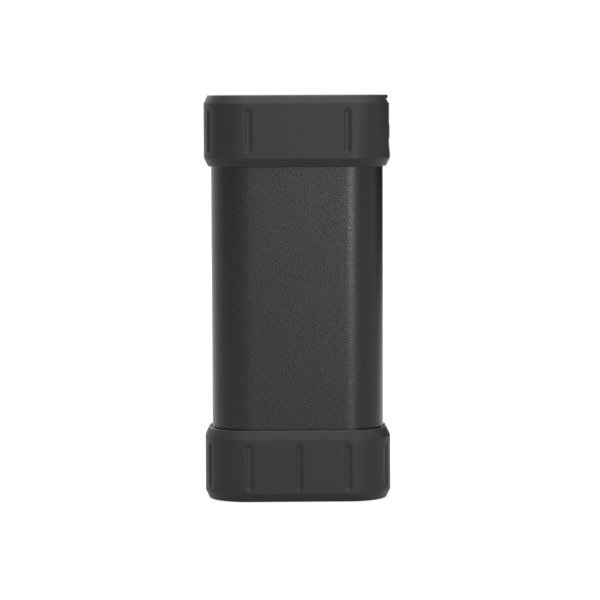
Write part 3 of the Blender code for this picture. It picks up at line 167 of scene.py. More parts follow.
def new_finish(name, values):
    """A material with constant shader values. Returns it, its shader and the object's own coordinates."""
    material = bpy.data.materials.new(name)
    material.use_nodes = True
    principled = material.node_tree.nodes["Principled BSDF"]
    for socket, value in values.items():
        principled.inputs[socket].default_value = value
    own_place = Socket(material.node_tree).node("ShaderNodeTexCoord", output="Object")
    return material, principled, own_place


def seen_directly(tree):
    """One where a ray comes from the camera, a reflection or a clear part, and zero elsewhere."""
    path = tree.nodes.new("ShaderNodeLightPath")
    rays = ("Is Camera Ray", "Is Glossy Ray", "Is Transmission Ray")
    return any_of(*(Socket(tree, path.outputs[ray]) for ray in rays))


def studio_sheet(name, corners, finish):
    """A flat sheet through four corners, which belongs to the studio."""
    mesh = bpy.data.meshes.new(name)
    mesh.from_pydata(corners, [], [(0, 1, 2, 3)])
    mesh.materials.append(finish)
    sheet = bpy.data.objects.new(name, mesh)
    scene.collection.objects.link(sheet)
    return sheet


world = bpy.data.worlds.new("studio")
world.use_nodes = True
scene.world = world
background = world.node_tree.nodes["Background"]
background.inputs["Color"].default_value = (1, 1, 1, 1)
level = seen_directly(world.node_tree) * (WORLD_WHITE_LEVEL - WORLD_DIFFUSE_LEVEL) + WORLD_DIFFUSE_LEVEL
level.feed(background, "Strength")

floor_finish, shader, place = new_finish("floor", {
    "Base Color": FLOOR_COLOUR, "Roughness": 1.0, "Specular IOR Level": 0.0, "Emission Strength": 1.0})
from_middle = place.node("ShaderNodeVectorMath", {"operation": "LENGTH"}, {0: place}, "Value")
glow = ramp(from_middle, FLOOR_GLOW_START, FLOOR_GLOW_END, FLOOR_GLOW, FLOOR_FAR_GLOW)
(seen_directly(place.tree) * glow).feed(shader, "Emission Color")
edge = FLOOR_SIZE / 2
studio_sheet("floor", [
    (-edge, -edge, -FLOOR_DROP), (edge, -edge, -FLOOR_DROP), (edge, edge, -FLOOR_DROP),
    (-edge, edge, -FLOOR_DROP)], floor_finish)


def soft_box(name, azimuth, elevation, width, height, watts):
    """A rectangular lamp that faces the warmer from an azimuth and an elevation in degrees."""
    lamp = bpy.data.lights.new(name, "AREA")
    lamp.shape = "RECTANGLE"
    lamp.size = width
    lamp.size_y = height
    lamp.energy = watts
    box = bpy.data.objects.new(name, lamp)
    box.visible_camera = False
    lamp_right, lamp_up, lamp_back = camera_axes(math.radians(azimuth), math.radians(elevation), 0.0)
    spot = lamp_back * LAMP_DISTANCE + [0.0, 0.0, CAMERA_AIM_HEIGHT]
    box.matrix_world = Matrix(
        np.vstack([np.column_stack([lamp_right, lamp_up, lamp_back, spot]), [0, 0, 0, 1]]).tolist())
    scene.collection.objects.link(box)


soft_box("top_box", azimuth=4, elevation=84, width=0.6, height=0.6, watts=15.0)
soft_box("right_box", azimuth=35, elevation=55, width=0.4, height=0.4, watts=1.5)
soft_box("strip_box", azimuth=17, elevation=9, width=0.18, height=0.34, watts=4.3)
soft_box("back_box", azimuth=200, elevation=35, width=0.6, height=0.6, watts=5.5)


def dark_card(name, azimuth, half_width, tone):
    """A card that stands on the floor at an azimuth in degrees. Only reflections see it, as a flat tone."""
    finish, _, _ = new_finish(name, {
        "Base Color": CARD_BLACK, "Specular IOR Level": 0.0,
        "Emission Color": (tone, tone, tone, 1), "Emission Strength": 1.0})
    card_right, _, card_back = camera_axes(math.radians(azimuth), 0.0, 0.0)
    one, other = (card_back * CARD_DISTANCE + card_right * side for side in (-half_width, half_width))
    card = studio_sheet(name, [
        (*one[:2], 0), (*other[:2], 0), (*other[:2], CARD_HEIGHT), (*one[:2], CARD_HEIGHT)], finish)
    card.visible_camera = False
    card.visible_diffuse = False
    card.visible_shadow = False


dark_card("right_card", azimuth=130, half_width=0.30, tone=0.0)
dark_card("left_card", azimuth=-65, half_width=0.39, tone=0.75)


# Cells
# Two cylindrical lithium cells stand side by side. Each is a steel can in blue shrink wrap, with a white
# fibre ring round its raised positive cap. The wrap dips over the can's rolled bead and wrinkles there.
def noise(where, scale, detail=2.0, roughness=0.5, stretch=(1, 1, 1)):
    """Smooth noise between 0 and 1, with scale bumps to the metre, drawn out where stretch is small."""
    if stretch != (1, 1, 1):
        where = where.node("ShaderNodeVectorMath", {"operation": "MULTIPLY"}, {0: where, 1: stretch})
    inputs = {"Vector": where, "Scale": scale, "Detail": detail, "Roughness": roughness}
    return where.node("ShaderNodeTexNoise", inputs=inputs)


def spread(texture, start=0.0, end=1.0):
    """Spread a noise, whose values lie mostly between 0.3 and 0.7, from start to end."""
    return ramp(texture, 0.3, 0.7, start, end)


def over(value, limit, step=0.0001):
    """Zero up to a limit and one past it, over a small step."""
    return ramp(value, limit, limit + step)


def under(value, limit, soft=0.00004):
    """One while a value is under a limit and zero over it, over a soft step."""
    return ramp(value, limit - soft, limit + soft, 1.0, 0.0)


def apart(value, place):
    """Distance between a coordinate and a place."""
    return (value - place).math("ABSOLUTE")


def from_axis(a, b):
    """Distance of two coordinates from zero: the root of a squared plus b squared."""
    return (a * a + b * b).math("SQRT")


def split(where):
    """The x, y and z of a place."""
    parts = where.node("ShaderNodeSeparateXYZ", inputs={0: where}).output.node
    return [Socket(where.tree, output) for output in parts.outputs]


def mix(factor, first, second):
    """Blend two colours."""
    return factor.node("ShaderNodeMix", {"data_type": "RGBA"}, {0: factor, 6: first, 7: second}, 2)


def bump(relief, depth):
    """Normals of a surface that a relief between 0 and 1 raises by up to a depth in metres."""
    return relief.node("ShaderNodeBump", inputs={"Height": relief, "Distance": depth})


def paint(principled, colour, roughness, relief, depth, metal=None):
    """Feed a shader a colour, a roughness, a relief up to a depth in metres, and how metallic it is."""
    colour.feed(principled, "Base Color")
    roughness.feed(principled, "Roughness")
    bump(relief, depth).feed(principled, "Normal")
    if metal is not None:
        metal.feed(principled, "Metallic")


def recolour(material, *names):
    """Give CAD nodes that keep their shape a finish of their own."""
    for name in names:
        for holder in nodes[name].material_slots:
            holder.material = material


WRAP_BLUE = (0.045, 0.155, 0.400, 1)
WRAP_DEEP = (0.034, 0.120, 0.330, 1)
RING_WHITE = (0.68, 0.67, 0.62, 1)
CAN_STEEL = (0.56, 0.55, 0.53, 1)
CAP_RADIUS = 0.0035
RING_RADIUS = 0.0072
WRAP_FOLD = 0.0011
FOOT_FOLD = 0.00025
BEAD_BELOW_TOP = 0.0032
BEAD_HALF_WIDTH = 0.0007
BEAD_DEPTH = 0.00025
CREASE_SCALE = 700

low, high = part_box("battery_cell_right")
cell_x = (low.x + high.x) / 2
wrap, shader, place = new_finish("cell_wrap", {"Specular IOR Level": 0.5})
x, y, z = split(place)
radial = from_axis(x.math("ABSOLUTE") - cell_x, y)
at_top = over(z, high.z - WRAP_FOLD)
metal = at_top * under(radial, CAP_RADIUS) + under(z, low.z + FOOT_FOLD) * under(radial, RING_RADIUS)
ring = at_top * under(radial, RING_RADIUS)
creases = noise(place, CREASE_SCALE, 3.0, 0.6, (1, 1, 0.12))
blue = mix(spread(creases), WRAP_DEEP, WRAP_BLUE)
bead = ramp(apart(z, high.z - BEAD_BELOW_TOP), 0.0, BEAD_HALF_WIDTH)
paint(shader, mix(metal, mix(ring, blue, RING_WHITE), CAN_STEEL),
      ramp(ring + creases, 0.3, 1.3, 0.26, 0.62), bead * 0.8 + creases * 0.2, BEAD_DEPTH, metal)
recolour(wrap, "battery_cell_left", "battery_cell_right")


# Cell links
# Nickel strip, rolled along its length and spot welded to each cell end with two pairs of points.
# A strip of it rises from each link to meet the battery wires above the holder.
NICKEL_BRIGHT = (0.64, 0.62, 0.58, 1)
NICKEL_DULL = (0.50, 0.48, 0.44, 1)
WELD_TINT = (0.24, 0.20, 0.17, 1)
WELD_X = 0.0013
WELD_Y = 0.0009
WELD_RADIUS = 0.0004
WELD_SOFT = 0.0001
WELD_DEPTH = 0.00008
ROLLING_SCALE = 900
STAIN_SCALE = 160

nickel, shader, place = new_finish("nickel", {"Metallic": 1.0})
x, y, z = split(place)
weld_x = apart(x.math("ABSOLUTE"), cell_x) - WELD_X
weld = under(from_axis(weld_x, y.math("ABSOLUTE") - WELD_Y), WELD_RADIUS, WELD_SOFT)
rolled = noise(place, ROLLING_SCALE, 4.0, 0.6, (0.05, 1, 1))
stained = ramp(rolled * 0.5 + noise(place, STAIN_SCALE) * 0.5, 0.35, 0.65)
paint(shader, mix(weld, mix(stained, NICKEL_DULL, NICKEL_BRIGHT), WELD_TINT),
      ramp(rolled + weld, 0.3, 1.4, 0.22, 0.60), rolled * 0.1 - weld * 0.9, WELD_DEPTH)
recolour(nickel, "nickel_strip_bottom", "nickel_strip_top")


# Cell holders
# Injection moulded holders of pale grey plastic grip both ends of the cells. The plastic has a fine
# spark-eroded grain, and faint flow clouds in its tone and its gloss.
HOLDER_DARK = (0.50, 0.50, 0.47, 1)
HOLDER_LIGHT = (0.58, 0.58, 0.55, 1)
FLOW_SCALE = 140
ERODED_SCALE = 4200
ERODED_DEPTH = 0.000012


def moulded(name, dark, light, smooth, rough):
    """Moulded plastic between two tones and two roughnesses, with flow clouds and a fine grain."""
    material, principled, own_place = new_finish(name, {"Specular IOR Level": 0.5})
    clouds = noise(own_place, FLOW_SCALE, 3.0)
    fine = noise(own_place, ERODED_SCALE, 2.0, 0.6)
    paint(principled, mix(ramp(clouds * 0.7 + fine * 0.3, 0.35, 0.65), dark, light),
          spread(clouds * 0.5 + fine * 0.5, smooth, rough), fine, ERODED_DEPTH)
    return material


recolour(moulded("holder_plastic", HOLDER_DARK, HOLDER_LIGHT, 0.48, 0.60),
         "lower_cell_holder", "upper_cell_holder")


# Temperature sensor
# A glass thermistor dipped in dark epoxy, which lies in the valley between the cells. The dip leaves the
# bead slightly uneven and glossy.
BEAD_DARK = (0.018, 0.018, 0.019, 1)
BEAD_LIGHT = (0.042, 0.041, 0.040, 1)
DIP_SCALE = 900
DIP_DEPTH = 0.00012
FILLER_SCALE = 2600

sensor_epoxy, shader, place = new_finish("sensor_epoxy", {"Specular IOR Level": 0.6})
lumps = noise(place, DIP_SCALE, 1.0)
paint(shader, mix(ramp(noise(place, FILLER_SCALE), 0.4, 0.7), BEAD_DARK, BEAD_LIGHT),
      spread(lumps, 0.18, 0.34), lumps, DIP_DEPTH)
recolour(sensor_epoxy, "thermistor")


# Insulation pads
# Pale silicone foam, cut from sheet, with small open pores. The pads lie between the cells and the
# heaters, and press these against the tube.
FOAM_PALE = (0.50, 0.52, 0.54, 1)
FOAM_PORE_SHADE = (0.26, 0.27, 0.28, 1)
PORE_SCALE = 2400
PORE_DEPTH = 0.00012
FOAM_CLOUD_SCALE = 420

pad_foam, shader, place = new_finish("pad_foam", {"Roughness": 0.95, "Specular IOR Level": 0.2})
pores = place.node("ShaderNodeTexVoronoi", inputs={"Vector": place, "Scale": PORE_SCALE})
walls = ramp(pores, 0.15, 0.55)
shade = walls * 0.75 + noise(place, FOAM_CLOUD_SCALE, 3.0) * 0.25
# The pores' hollows are painted darker than the walls round them, as painted shade.
mix(shade, FOAM_PORE_SHADE, FOAM_PALE).feed(shader, "Base Color")
bump(walls, PORE_DEPTH).feed(shader, "Normal")
recolour(pad_foam, "insulation_pad_front", "insulation_pad_back")


# Heater films
# Amber polyimide film over an etched metal track, which winds to and fro across the film. The film lies
# against the tube's flat faces.
FILM_AMBER = (0.46, 0.17, 0.028, 1)
FILM_DEEP = (0.40, 0.145, 0.024, 1)
FILM_TRACK = (0.24, 0.085, 0.022, 1)
FILM_DEPTH = 0.00006
FILM_CLOUD_SCALE = 240
FILM_WAVE_SCALE = 320
TRACK_PITCH = 0.0032
TRACK_WIDTH = 0.0011
TRACK_HALF_LENGTH = 0.0125

low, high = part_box("heater_film_front")
heater_film, shader, place = new_finish("heater_film", {"Specular IOR Level": 0.6})
x, y, z = split(place)
row = (z - low.z) * (1 / TRACK_PITCH)
odd_row = row.math("FLOOR").math("MODULO", 2.0)
across = apart(row.math("FRACT"), 0.5) * TRACK_PITCH
bar = under(TRACK_PITCH / 2 - across, TRACK_WIDTH / 2) * under(x.math("ABSOLUTE"), TRACK_HALF_LENGTH)
bend_x = TRACK_HALF_LENGTH - TRACK_WIDTH / 2
bend_right = under(apart(x, bend_x), TRACK_WIDTH / 2) * odd_row
bend_left = under(apart(x, -bend_x), TRACK_WIDTH / 2) * (1.0 - odd_row)
inside = over(z, low.z + TRACK_PITCH) * under(z, high.z - 2 * TRACK_PITCH)
track = any_of(bar, bend_right, bend_left) * inside
clouds = noise(place, FILM_CLOUD_SCALE, 3.0)
paint(shader, mix(track, mix(spread(clouds), FILM_DEEP, FILM_AMBER), FILM_TRACK),
      spread(clouds, 0.24, 0.36), track * 0.6 + noise(place, FILM_WAVE_SCALE) * 0.4, FILM_DEPTH)
recolour(heater_film, "heater_film_front", "heater_film_back")


# Board
# A four-layer board with green solder mask over its traces, tinned vias, bare glass fibre at its edges
# and white printed frames round the parts, soldered on by reflow.
MASK_GREEN = (0.010, 0.085, 0.035, 1)
MASK_PALE = (0.012, 0.098, 0.040, 1)
MASK_TRACE = (0.020, 0.150, 0.060, 1)
MASK_DEPTH = 0.00004
MASK_CLOUD_SCALE = 500
MASK_GLOSS_SCALE = 800
FIBRE = (0.34, 0.31, 0.15, 1)
PRINT_WHITE = (0.72, 0.72, 0.68, 1)
TIN = (0.60, 0.60, 0.58, 1)
TRACE_PITCH = 0.0009
TRACE_WIDTH = 0.00026
TRACE_PATCH_SCALE = 130
VIA_PITCH = 0.0027
VIA_RADIUS = 0.00032
VIA_PATCH_SCALE = 300
FRAME_ROOM = 0.00035
FRAME_LINE = 0.00016
FRAME_REACH = 0.006
FIBRE_EDGE = 0.00006
PATTERN_START = 0.1


def to_line(value, pitch):
    """Distance of a value from the nearest whole number of pitches."""
    return value.math("PINGPONG", pitch / 2)


def printed_frame(name, x, y, z):
    """Mask of the printed line round a part, on the side of the board that carries it."""
    part_low, part_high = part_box(name)
    middle, reach = (part_low + part_high) / 2, (part_high - part_low) / 2
    outside = (apart(x, middle.x) - reach.x).math("MAXIMUM", apart(z, middle.z) - reach.z)
    own_side = 1.0 - over(apart(y, middle.y), FRAME_REACH)
    return under(apart(outside, FRAME_ROOM), FRAME_LINE / 2) * own_side


low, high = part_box("main_board")
board_middle, board_half = (low.y + high.y) / 2, (high.y - low.y) / 2
board_green, shader, place = new_finish("board_green", {"Specular IOR Level": 0.5})
x, y, z = split(place)
pattern_x = x + PATTERN_START
segments = noise(place, TRACE_PATCH_SCALE, 0.0)
upright = under(to_line(pattern_x, TRACE_PITCH), TRACE_WIDTH / 2) * ramp(segments, 0.50, 0.51)
level_lines = under(to_line(z, TRACE_PITCH), TRACE_WIDTH / 2) * ramp(segments, 0.49, 0.50, 1.0, 0.0)
traces = any_of(upright, level_lines)
vias = under(from_axis(to_line(pattern_x, VIA_PITCH), to_line(z, VIA_PITCH)), VIA_RADIUS) * ramp(
    noise(place, VIA_PATCH_SCALE, 0.0), 0.52, 0.53)
printed = any_of(*(printed_frame(name, x, y, z) for name in (
    "controller_chip", "charger_chip", "heater_driver", "inductor", "capacitor")))
edge = under(apart(y, board_middle), board_half - FIBRE_EDGE)
green = mix(traces, mix(noise(place, MASK_CLOUD_SCALE), MASK_GREEN, MASK_PALE), MASK_TRACE)
gloss = spread(noise(place, MASK_GLOSS_SCALE), 0.30, 0.42)
paint(shader, mix(edge, mix(printed, mix(vias, green, TIN), PRINT_WHITE), FIBRE), gloss,
      traces * 0.6 + vias * 0.4, MASK_DEPTH, vias * (1.0 - edge))
recolour(board_green, "main_board")


# Chips
# Leadless packages of black moulding compound, lapped flat on top, with a round first-pin dimple in a
# corner and a row of tinned pads along the foot of each side.
CHIP_DARK = (0.012, 0.012, 0.013, 1)
CHIP_LIGHT = (0.024, 0.024, 0.025, 1)
COMPOUND_SCALE = 6000
PIN_PITCH = 0.00065
PIN_WIDTH = 0.00030
PIN_HEIGHT = 0.00035
DIMPLE_RADIUS = 0.00035
DIMPLE_ROOM = 0.0009
DIMPLE_DEPTH = 0.00005


def first_pin_dimple(name, x, z):
    """Mask of the round dimple in a chip's upper left corner."""
    part_low, part_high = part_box(name)
    return under(from_axis(x - (part_low.x + DIMPLE_ROOM), z - (part_high.z - DIMPLE_ROOM)), DIMPLE_RADIUS)


def facing(where):
    """The x, y and z of the surface's own normal, all taken as positive."""
    return [part.math("ABSOLUTE") for part in split(where.node("ShaderNodeTexCoord", output="Normal"))]


chip_black, shader, place = new_finish("chip_black", {"Specular IOR Level": 0.4})
x, y, z = split(place)
facing_x, _, facing_z = facing(place)
pins_x = under(to_line(x + PATTERN_START, PIN_PITCH), PIN_WIDTH / 2) * ramp(facing_z, 0.6, 0.7)
pins_z = under(to_line(z, PIN_PITCH), PIN_WIDTH / 2) * ramp(facing_x, 0.6, 0.7)
pins = any_of(pins_x, pins_z) * under(apart(y, board_middle) - board_half, PIN_HEIGHT)
chips = ("controller_chip", "charger_chip", "heater_driver")
dimple = any_of(*(first_pin_dimple(name, x, z) for name in chips))
grains = noise(place, COMPOUND_SCALE, 2.0, 0.7)
paint(shader, mix(pins, mix(ramp(grains, 0.4, 0.7), CHIP_DARK, CHIP_LIGHT), TIN),
      ramp(dimple, 0.0, 1.0, 0.52, 0.30), grains * 0.1 - dimple * 0.9, DIMPLE_DEPTH, pins)
recolour(chip_black, *chips)


# Coil and capacitor
# A moulded power inductor of pressed iron powder with tinned end clips, and an aluminium capacitor on a
# black foot, with a dark polarity segment on its end and a rolled groove round it.
POWDER_DARK = (0.055, 0.055, 0.060, 1)
POWDER_LIGHT = (0.105, 0.105, 0.110, 1)
POWDER_SCALE = 3600
POWDER_DEPTH = 0.00004
CLIP_HALF_WIDTH = 0.0016
CLIP_ROOM = 0.00035
CLIP_START = 0.0007
CAN_BRIGHT = (0.60, 0.61, 0.62, 1)
CAN_DULL = (0.48, 0.49, 0.51, 1)
CAN_FOOT = (0.016, 0.016, 0.017, 1)
CAN_MARK = (0.020, 0.022, 0.030, 1)
FOOT_HEIGHT = 0.0009
CAN_GROOVE_HEIGHT = 0.0017
CAN_GROOVE_HALF = 0.0002
CAN_GROOVE_SOFT = 0.00015
CAN_GROOVE_DEPTH = 0.00025
MARK_ROOM = 0.0011
MARK_THICKNESS = 0.0001
MARK_SOFT = 0.00008
CAN_DRAWN_SCALE = 900

low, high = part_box("inductor")
middle, reach = (low + high) / 2, (high - low) / 2
ferrite_grey, shader, place = new_finish("ferrite_grey", {"Specular IOR Level": 0.4})
x, y, z = split(place)
clip = over(apart(x, middle.x), reach.x - CLIP_ROOM) * under(apart(z, middle.z), CLIP_HALF_WIDTH)
clip = clip * over(y, low.y + CLIP_START)
powder = noise(place, POWDER_SCALE, 3.0, 0.7)
paint(shader, mix(clip, mix(ramp(powder, 0.35, 0.7), POWDER_DARK, POWDER_LIGHT), TIN),
      ramp(powder - clip, -0.6, 0.7, 0.30, 0.75), powder, POWDER_DEPTH, clip)
recolour(ferrite_grey, "inductor")

low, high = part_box("capacitor")
capacitor_can, shader, place = new_finish("capacitor_can", {})
x, y, z = split(place)
foot_part = under(y, low.y + FOOT_HEIGHT)
mark_start = (low.z + high.z) / 2 + MARK_ROOM
mark = over(y, high.y - MARK_THICKNESS, MARK_THICKNESS / 2) * over(z, mark_start, MARK_SOFT)
drawn = noise(place, CAN_DRAWN_SCALE, 3.0, 0.6, (1, 0.06, 1))
shell = mix(spread(drawn), CAN_DULL, CAN_BRIGHT)
rolled_in = under(apart(y, low.y + CAN_GROOVE_HEIGHT), CAN_GROOVE_HALF, CAN_GROOVE_SOFT)
paint(shader, mix(foot_part, mix(mark, shell, CAN_MARK), CAN_FOOT),
      ramp(drawn + foot_part, 0.3, 1.5, 0.24, 0.55), 1.0 - rolled_in, CAN_GROOVE_DEPTH,
      (1.0 - foot_part) * (1.0 - mark))
recolour(capacitor_can, "capacitor")


# Ports
# Deep-drawn steel shells with punched spring fingers, a dark plastic base and tongue in each, and
# gold-plated contacts on the tongues: four in the wide port and a row on each face in the small one.
STEEL_BRIGHT = (0.62, 0.62, 0.61, 1)
STEEL_DULL = (0.50, 0.50, 0.50, 1)
STEEL_GAP = (0.02, 0.02, 0.02, 1)
STEEL_DRAWN_SCALE = 1400
FINGER_HALF_WIDTH = 0.0009
FINGER_HALF_LENGTH = 0.0022
FINGER_SHARE = 0.5
FINGER_GAP = 0.00014
FINGER_DEPTH = 0.00006
PORT_DARK = (0.026, 0.026, 0.030, 1)
PORT_LIGHT = (0.036, 0.036, 0.040, 1)
GOLD_BRIGHT = (0.86, 0.62, 0.22, 1)
GOLD_DULL = (0.70, 0.48, 0.16, 1)
GOLD_DEPTH = 0.00001
GOLD_WIPED_SCALE = 1800
CONTACT_PROUD = 0.00006
CONTACT_SUNK = 0.0002
CONTACT_ROUND = 0.00012
WIDE_CONTACT = 0.0010
WIDE_PLACES = (-0.0035, -0.0010, 0.0010, 0.0035)
WIDE_TIP_ROOMS = (0.0004, 0.0014, 0.0014, 0.0004)
WIDE_CONTACT_LOW = 0.0072
WIDE_TONGUE = 0.0018
SMALL_CONTACT = 0.00026
SMALL_CONTACT_LOW = 0.0017
SMALL_CONTACT_TIP = 0.0002
SMALL_PITCH = 0.0005
SMALL_COUNT = 12
SMALL_TONGUE = 0.0007
TONGUE_BELOW_MOUTH = 0.0020
SHARP_ANGLE = math.radians(40)


def spring_finger(name, share, x, z):
    """Mask of the slit round a punched finger, off a shell's middle by a share of half its width."""
    shell_low, shell_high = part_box(name)
    middle, reach = (shell_low + shell_high) / 2, (shell_high - shell_low) / 2
    aside = apart(x, middle.x + share * reach.x) - FINGER_HALF_WIDTH
    outside = aside.math("MAXIMUM", apart(z, middle.z) - FINGER_HALF_LENGTH)
    return under(outside.math("ABSOLUTE"), FINGER_GAP / 2)


port_steel, shader, place = new_finish("port_steel", {"Metallic": 1.0})
x, y, z = split(place)
drawn = noise(place, STEEL_DRAWN_SCALE, 3.0, 0.6, (1, 1, 0.05))
fingers = any_of(
    spring_finger("usb_a_shell", -FINGER_SHARE, x, z), spring_finger("usb_a_shell", FINGER_SHARE, x, z),
    spring_finger("usb_c_shell", 0.0, x, z)) * ramp(facing(place)[1], 0.8, 0.9)
paint(shader, mix(fingers, mix(spread(drawn), STEEL_DULL, STEEL_BRIGHT), STEEL_GAP),
      spread(drawn, 0.22, 0.36), drawn * 0.1 - fingers * 0.9, FINGER_DEPTH)
recolour(port_steel, "usb_a_shell", "usb_c_shell")
recolour(moulded("port_plastic", PORT_DARK, PORT_LIGHT, 0.40, 0.52), "usb_a_tongue", "usb_c_tongue")

gold, shader, place = new_finish("gold_plate", {"Metallic": 1.0})
wiped = noise(place, GOLD_WIPED_SCALE, 3.0, 0.6, (1, 1, 0.05))
paint(shader, mix(spread(wiped), GOLD_DULL, GOLD_BRIGHT), spread(wiped, 0.18, 0.32), wiped, GOLD_DEPTH)


def outline(half_x, half_y, corner, path):
    """Points and outward normals of a rounded rectangle, whose sizes may be arrays of rows.
    path runs anticlockwise from 0 to 8: even stretches are the right, back, left and front sides,
    odd ones are the quarter turns between them, where a point is centre + corner * (cos, sin)."""
    stretch = np.floor(path).astype(int) % 8
    share = path - np.floor(path)
    quarter = stretch // 2
    turning = stretch % 2 == 1
    angle = (quarter + np.where(turning, share, 0.0)) * math.pi / 2
    cosine, sine = np.cos(angle), np.sin(angle)
    flat_x, flat_y = half_x - corner, half_y - corner
    side_x = np.array([1, -1, -1, 1])[quarter]
    side_y = np.array([1, 1, -1, -1])[quarter]
    slide = np.where(quarter % 2 == 0, flat_y, flat_x) * (2 * share - 1)
    reach = np.where(quarter % 2 == 0, half_x, half_y)
    x = np.where(turning, side_x * flat_x + corner * cosine, reach * cosine - slide * sine)
    y = np.where(turning, side_y * flat_y + corner * sine, reach * sine + slide * cosine)
    return x, y, cosine, sine


def even_path(side_steps, corner_steps):
    """A path round an outline with equal steps along each side and round each corner."""
    stretches = [k + np.arange(n) / n for k, n in enumerate([side_steps, corner_steps] * 4)]
    return np.concatenate(stretches)


def solid(name, *grids, capped=True):
    """A piece of closed skins, each over a grid of points (rows, columns, 3) that joins up round its
    columns. A grid's first and last rows are each filled by one face, or else joined to one another."""
    points, faces = [], []
    for grid in grids:
        rows, columns, _ = grid.shape
        index = np.arange(rows * columns).reshape(rows, columns) + len(points)
        around = index if capped else np.vstack([index, index[:1]])
        beside = np.roll(around, -1, axis=1)
        quads = np.stack([around[:-1], beside[:-1], beside[1:], around[1:]], axis=-1)
        faces += quads.reshape(-1, 4).tolist()
        if capped:
            faces += [index[0][::-1].tolist(), index[-1].tolist()]
        points += grid.reshape(-1, 3).tolist()
    mesh = bpy.data.meshes.new(name)
    mesh.from_pydata(points, [], faces)
    mesh.update()
    made = bpy.data.objects.new(name, mesh)
    scene.collection.objects.link(made)
    return made


def loft(rows, path, centre=(0.0, 0.0), axis="z"):
    """Grid of points through sections (half a, half b, corner, height) about a centre. a, b and the
    height run along x, y, z, or along y, z, x, or along z, x, y."""
    x, y, _, _ = outline(rows[:, :1], rows[:, 1:2], rows[:, 2:3], path)
    height = np.broadcast_to(rows[:, 3:], x.shape)
    grid = np.stack([x + centre[0], y + centre[1], height], axis=-1)
    return np.roll(grid, {"z": 0, "x": 1, "y": 2}[axis], axis=-1)


def finish_piece(piece, material):
    """Shade a finished piece smooth but for its sharp edges, and give it its material and slot."""
    piece.data.shade_smooth()
    piece.data.set_sharp_from_angle(angle=SHARP_ANGLE)
    piece.data.materials.clear()
    piece.data.materials.append(material)


def dress(piece, material, body="warmer_body", replaced=()):
    """Finish a piece, put it on the body it rides on, and hide the nodes it stands for."""
    finish_piece(piece, material)
    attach(piece, body)
    if replaced:
        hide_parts(*replaced)


def contact(middle_x, width, low_z, high_z, face_y, outwards):
    """Grid of a round-ended contact strip, which stands a little proud of a tongue's face."""
    ends = sorted((face_y - outwards * CONTACT_SUNK, face_y + outwards * CONTACT_PROUD))
    rows = np.array([((high_z - low_z) / 2, width / 2, CONTACT_ROUND, end) for end in ends])
    return loft(rows, even_path(1, 3), ((low_z + high_z) / 2, middle_x), "y")


low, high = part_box("usb_a_shell")
middle = (low + high) / 2
tip = high.z - TONGUE_BELOW_MOUTH
wide_contacts = solid("wide_port_contacts", *(
    contact(middle.x + off, WIDE_CONTACT, tip - WIDE_CONTACT_LOW, tip - room,
            middle.y - WIDE_TONGUE / 2, -1) for off, room in zip(WIDE_PLACES, WIDE_TIP_ROOMS)))
low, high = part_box("usb_c_shell")
middle = (low + high) / 2
tip = high.z - TONGUE_BELOW_MOUTH
small_contacts = solid("small_port_contacts", *(
    contact(middle.x + (i - (SMALL_COUNT - 1) / 2) * SMALL_PITCH, SMALL_CONTACT, tip - SMALL_CONTACT_LOW,
            tip - SMALL_CONTACT_TIP, middle.y + face * SMALL_TONGUE / 2, face)
    for i in range(SMALL_COUNT) for face in (-1, 1)))
for contacts in (wide_contacts, small_contacts):
    dress(contacts, gold)


# Switch
# A side-acting tact switch: a black moulded case under a riveted steel plate, and a white plunger that
# the power button's stem pushes.
CASE_DARK = (0.016, 0.016, 0.018, 1)
CASE_LIGHT = (0.030, 0.030, 0.032, 1)
CASE_SCALE = 3800
PLATE_DEPTH = 0.0007
PLATE_SOFT = 0.00006
RIVET_PLACE = 0.0021
RIVET_RADIUS = 0.00036
RIVET_HEIGHT = 0.00005
RIVET_DARK = (0.06, 0.06, 0.06, 1)
PLUNGER_DARK = (0.68, 0.68, 0.64, 1)
PLUNGER_LIGHT = (0.76, 0.76, 0.73, 1)

low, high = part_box("switch_body")
middle = (low + high) / 2
switch_black, shader, place = new_finish("switch_black", {"Specular IOR Level": 0.5})
x, y, z = split(place)
on_plate = over(x, high.x - PLATE_DEPTH, PLATE_SOFT)
rivet_y = apart(y, middle.y) - RIVET_PLACE
rivet_z = apart(z, middle.z) - RIVET_PLACE
rivets = under(from_axis(rivet_y, rivet_z), RIVET_RADIUS) * on_plate
fine = noise(place, CASE_SCALE, 3.0)
paint(shader, mix(on_plate, mix(fine, CASE_DARK, CASE_LIGHT), mix(rivets, STEEL_BRIGHT, RIVET_DARK)),
      ramp(fine - on_plate * 0.3, 0.0, 0.7, 0.28, 0.55), fine * 0.2 + rivets * 0.8, RIVET_HEIGHT, on_plate)
recolour(switch_black, "switch_body")
recolour(moulded("plunger_white", PLUNGER_DARK, PLUNGER_LIGHT, 0.38, 0.50), "switch_plunger")


# Charge lights
# Four side-facing lamps, each a white block with a yellow phosphor window, behind a clear moulded light
# pipe whose studs come out through the bumper's side. The pipe's ends are frosted.
PHOSPHOR = (0.78, 0.60, 0.12, 1)
LAMP_WHITE = (0.76, 0.76, 0.72, 1)
LAMP_SHADE = (0.66, 0.66, 0.62, 1)
LAMP_SPECK_SCALE = 5200
LAMP_PITCH = 0.0022
LAMP_COUNT = 4
WINDOW_HALF = 0.00048
WINDOW_DEPTH = 0.00005
WINDOW_FACE = 0.0002
PIPE_SHADE = (0.84, 0.87, 0.90, 1)
PIPE_CLEAR = (0.90, 0.92, 0.94, 1)
PIPE_HAZE_SCALE = 2600
FROST_DEPTH = 0.00002
FROST_LENGTH = 0.0010
FROST_FADE = 0.0004

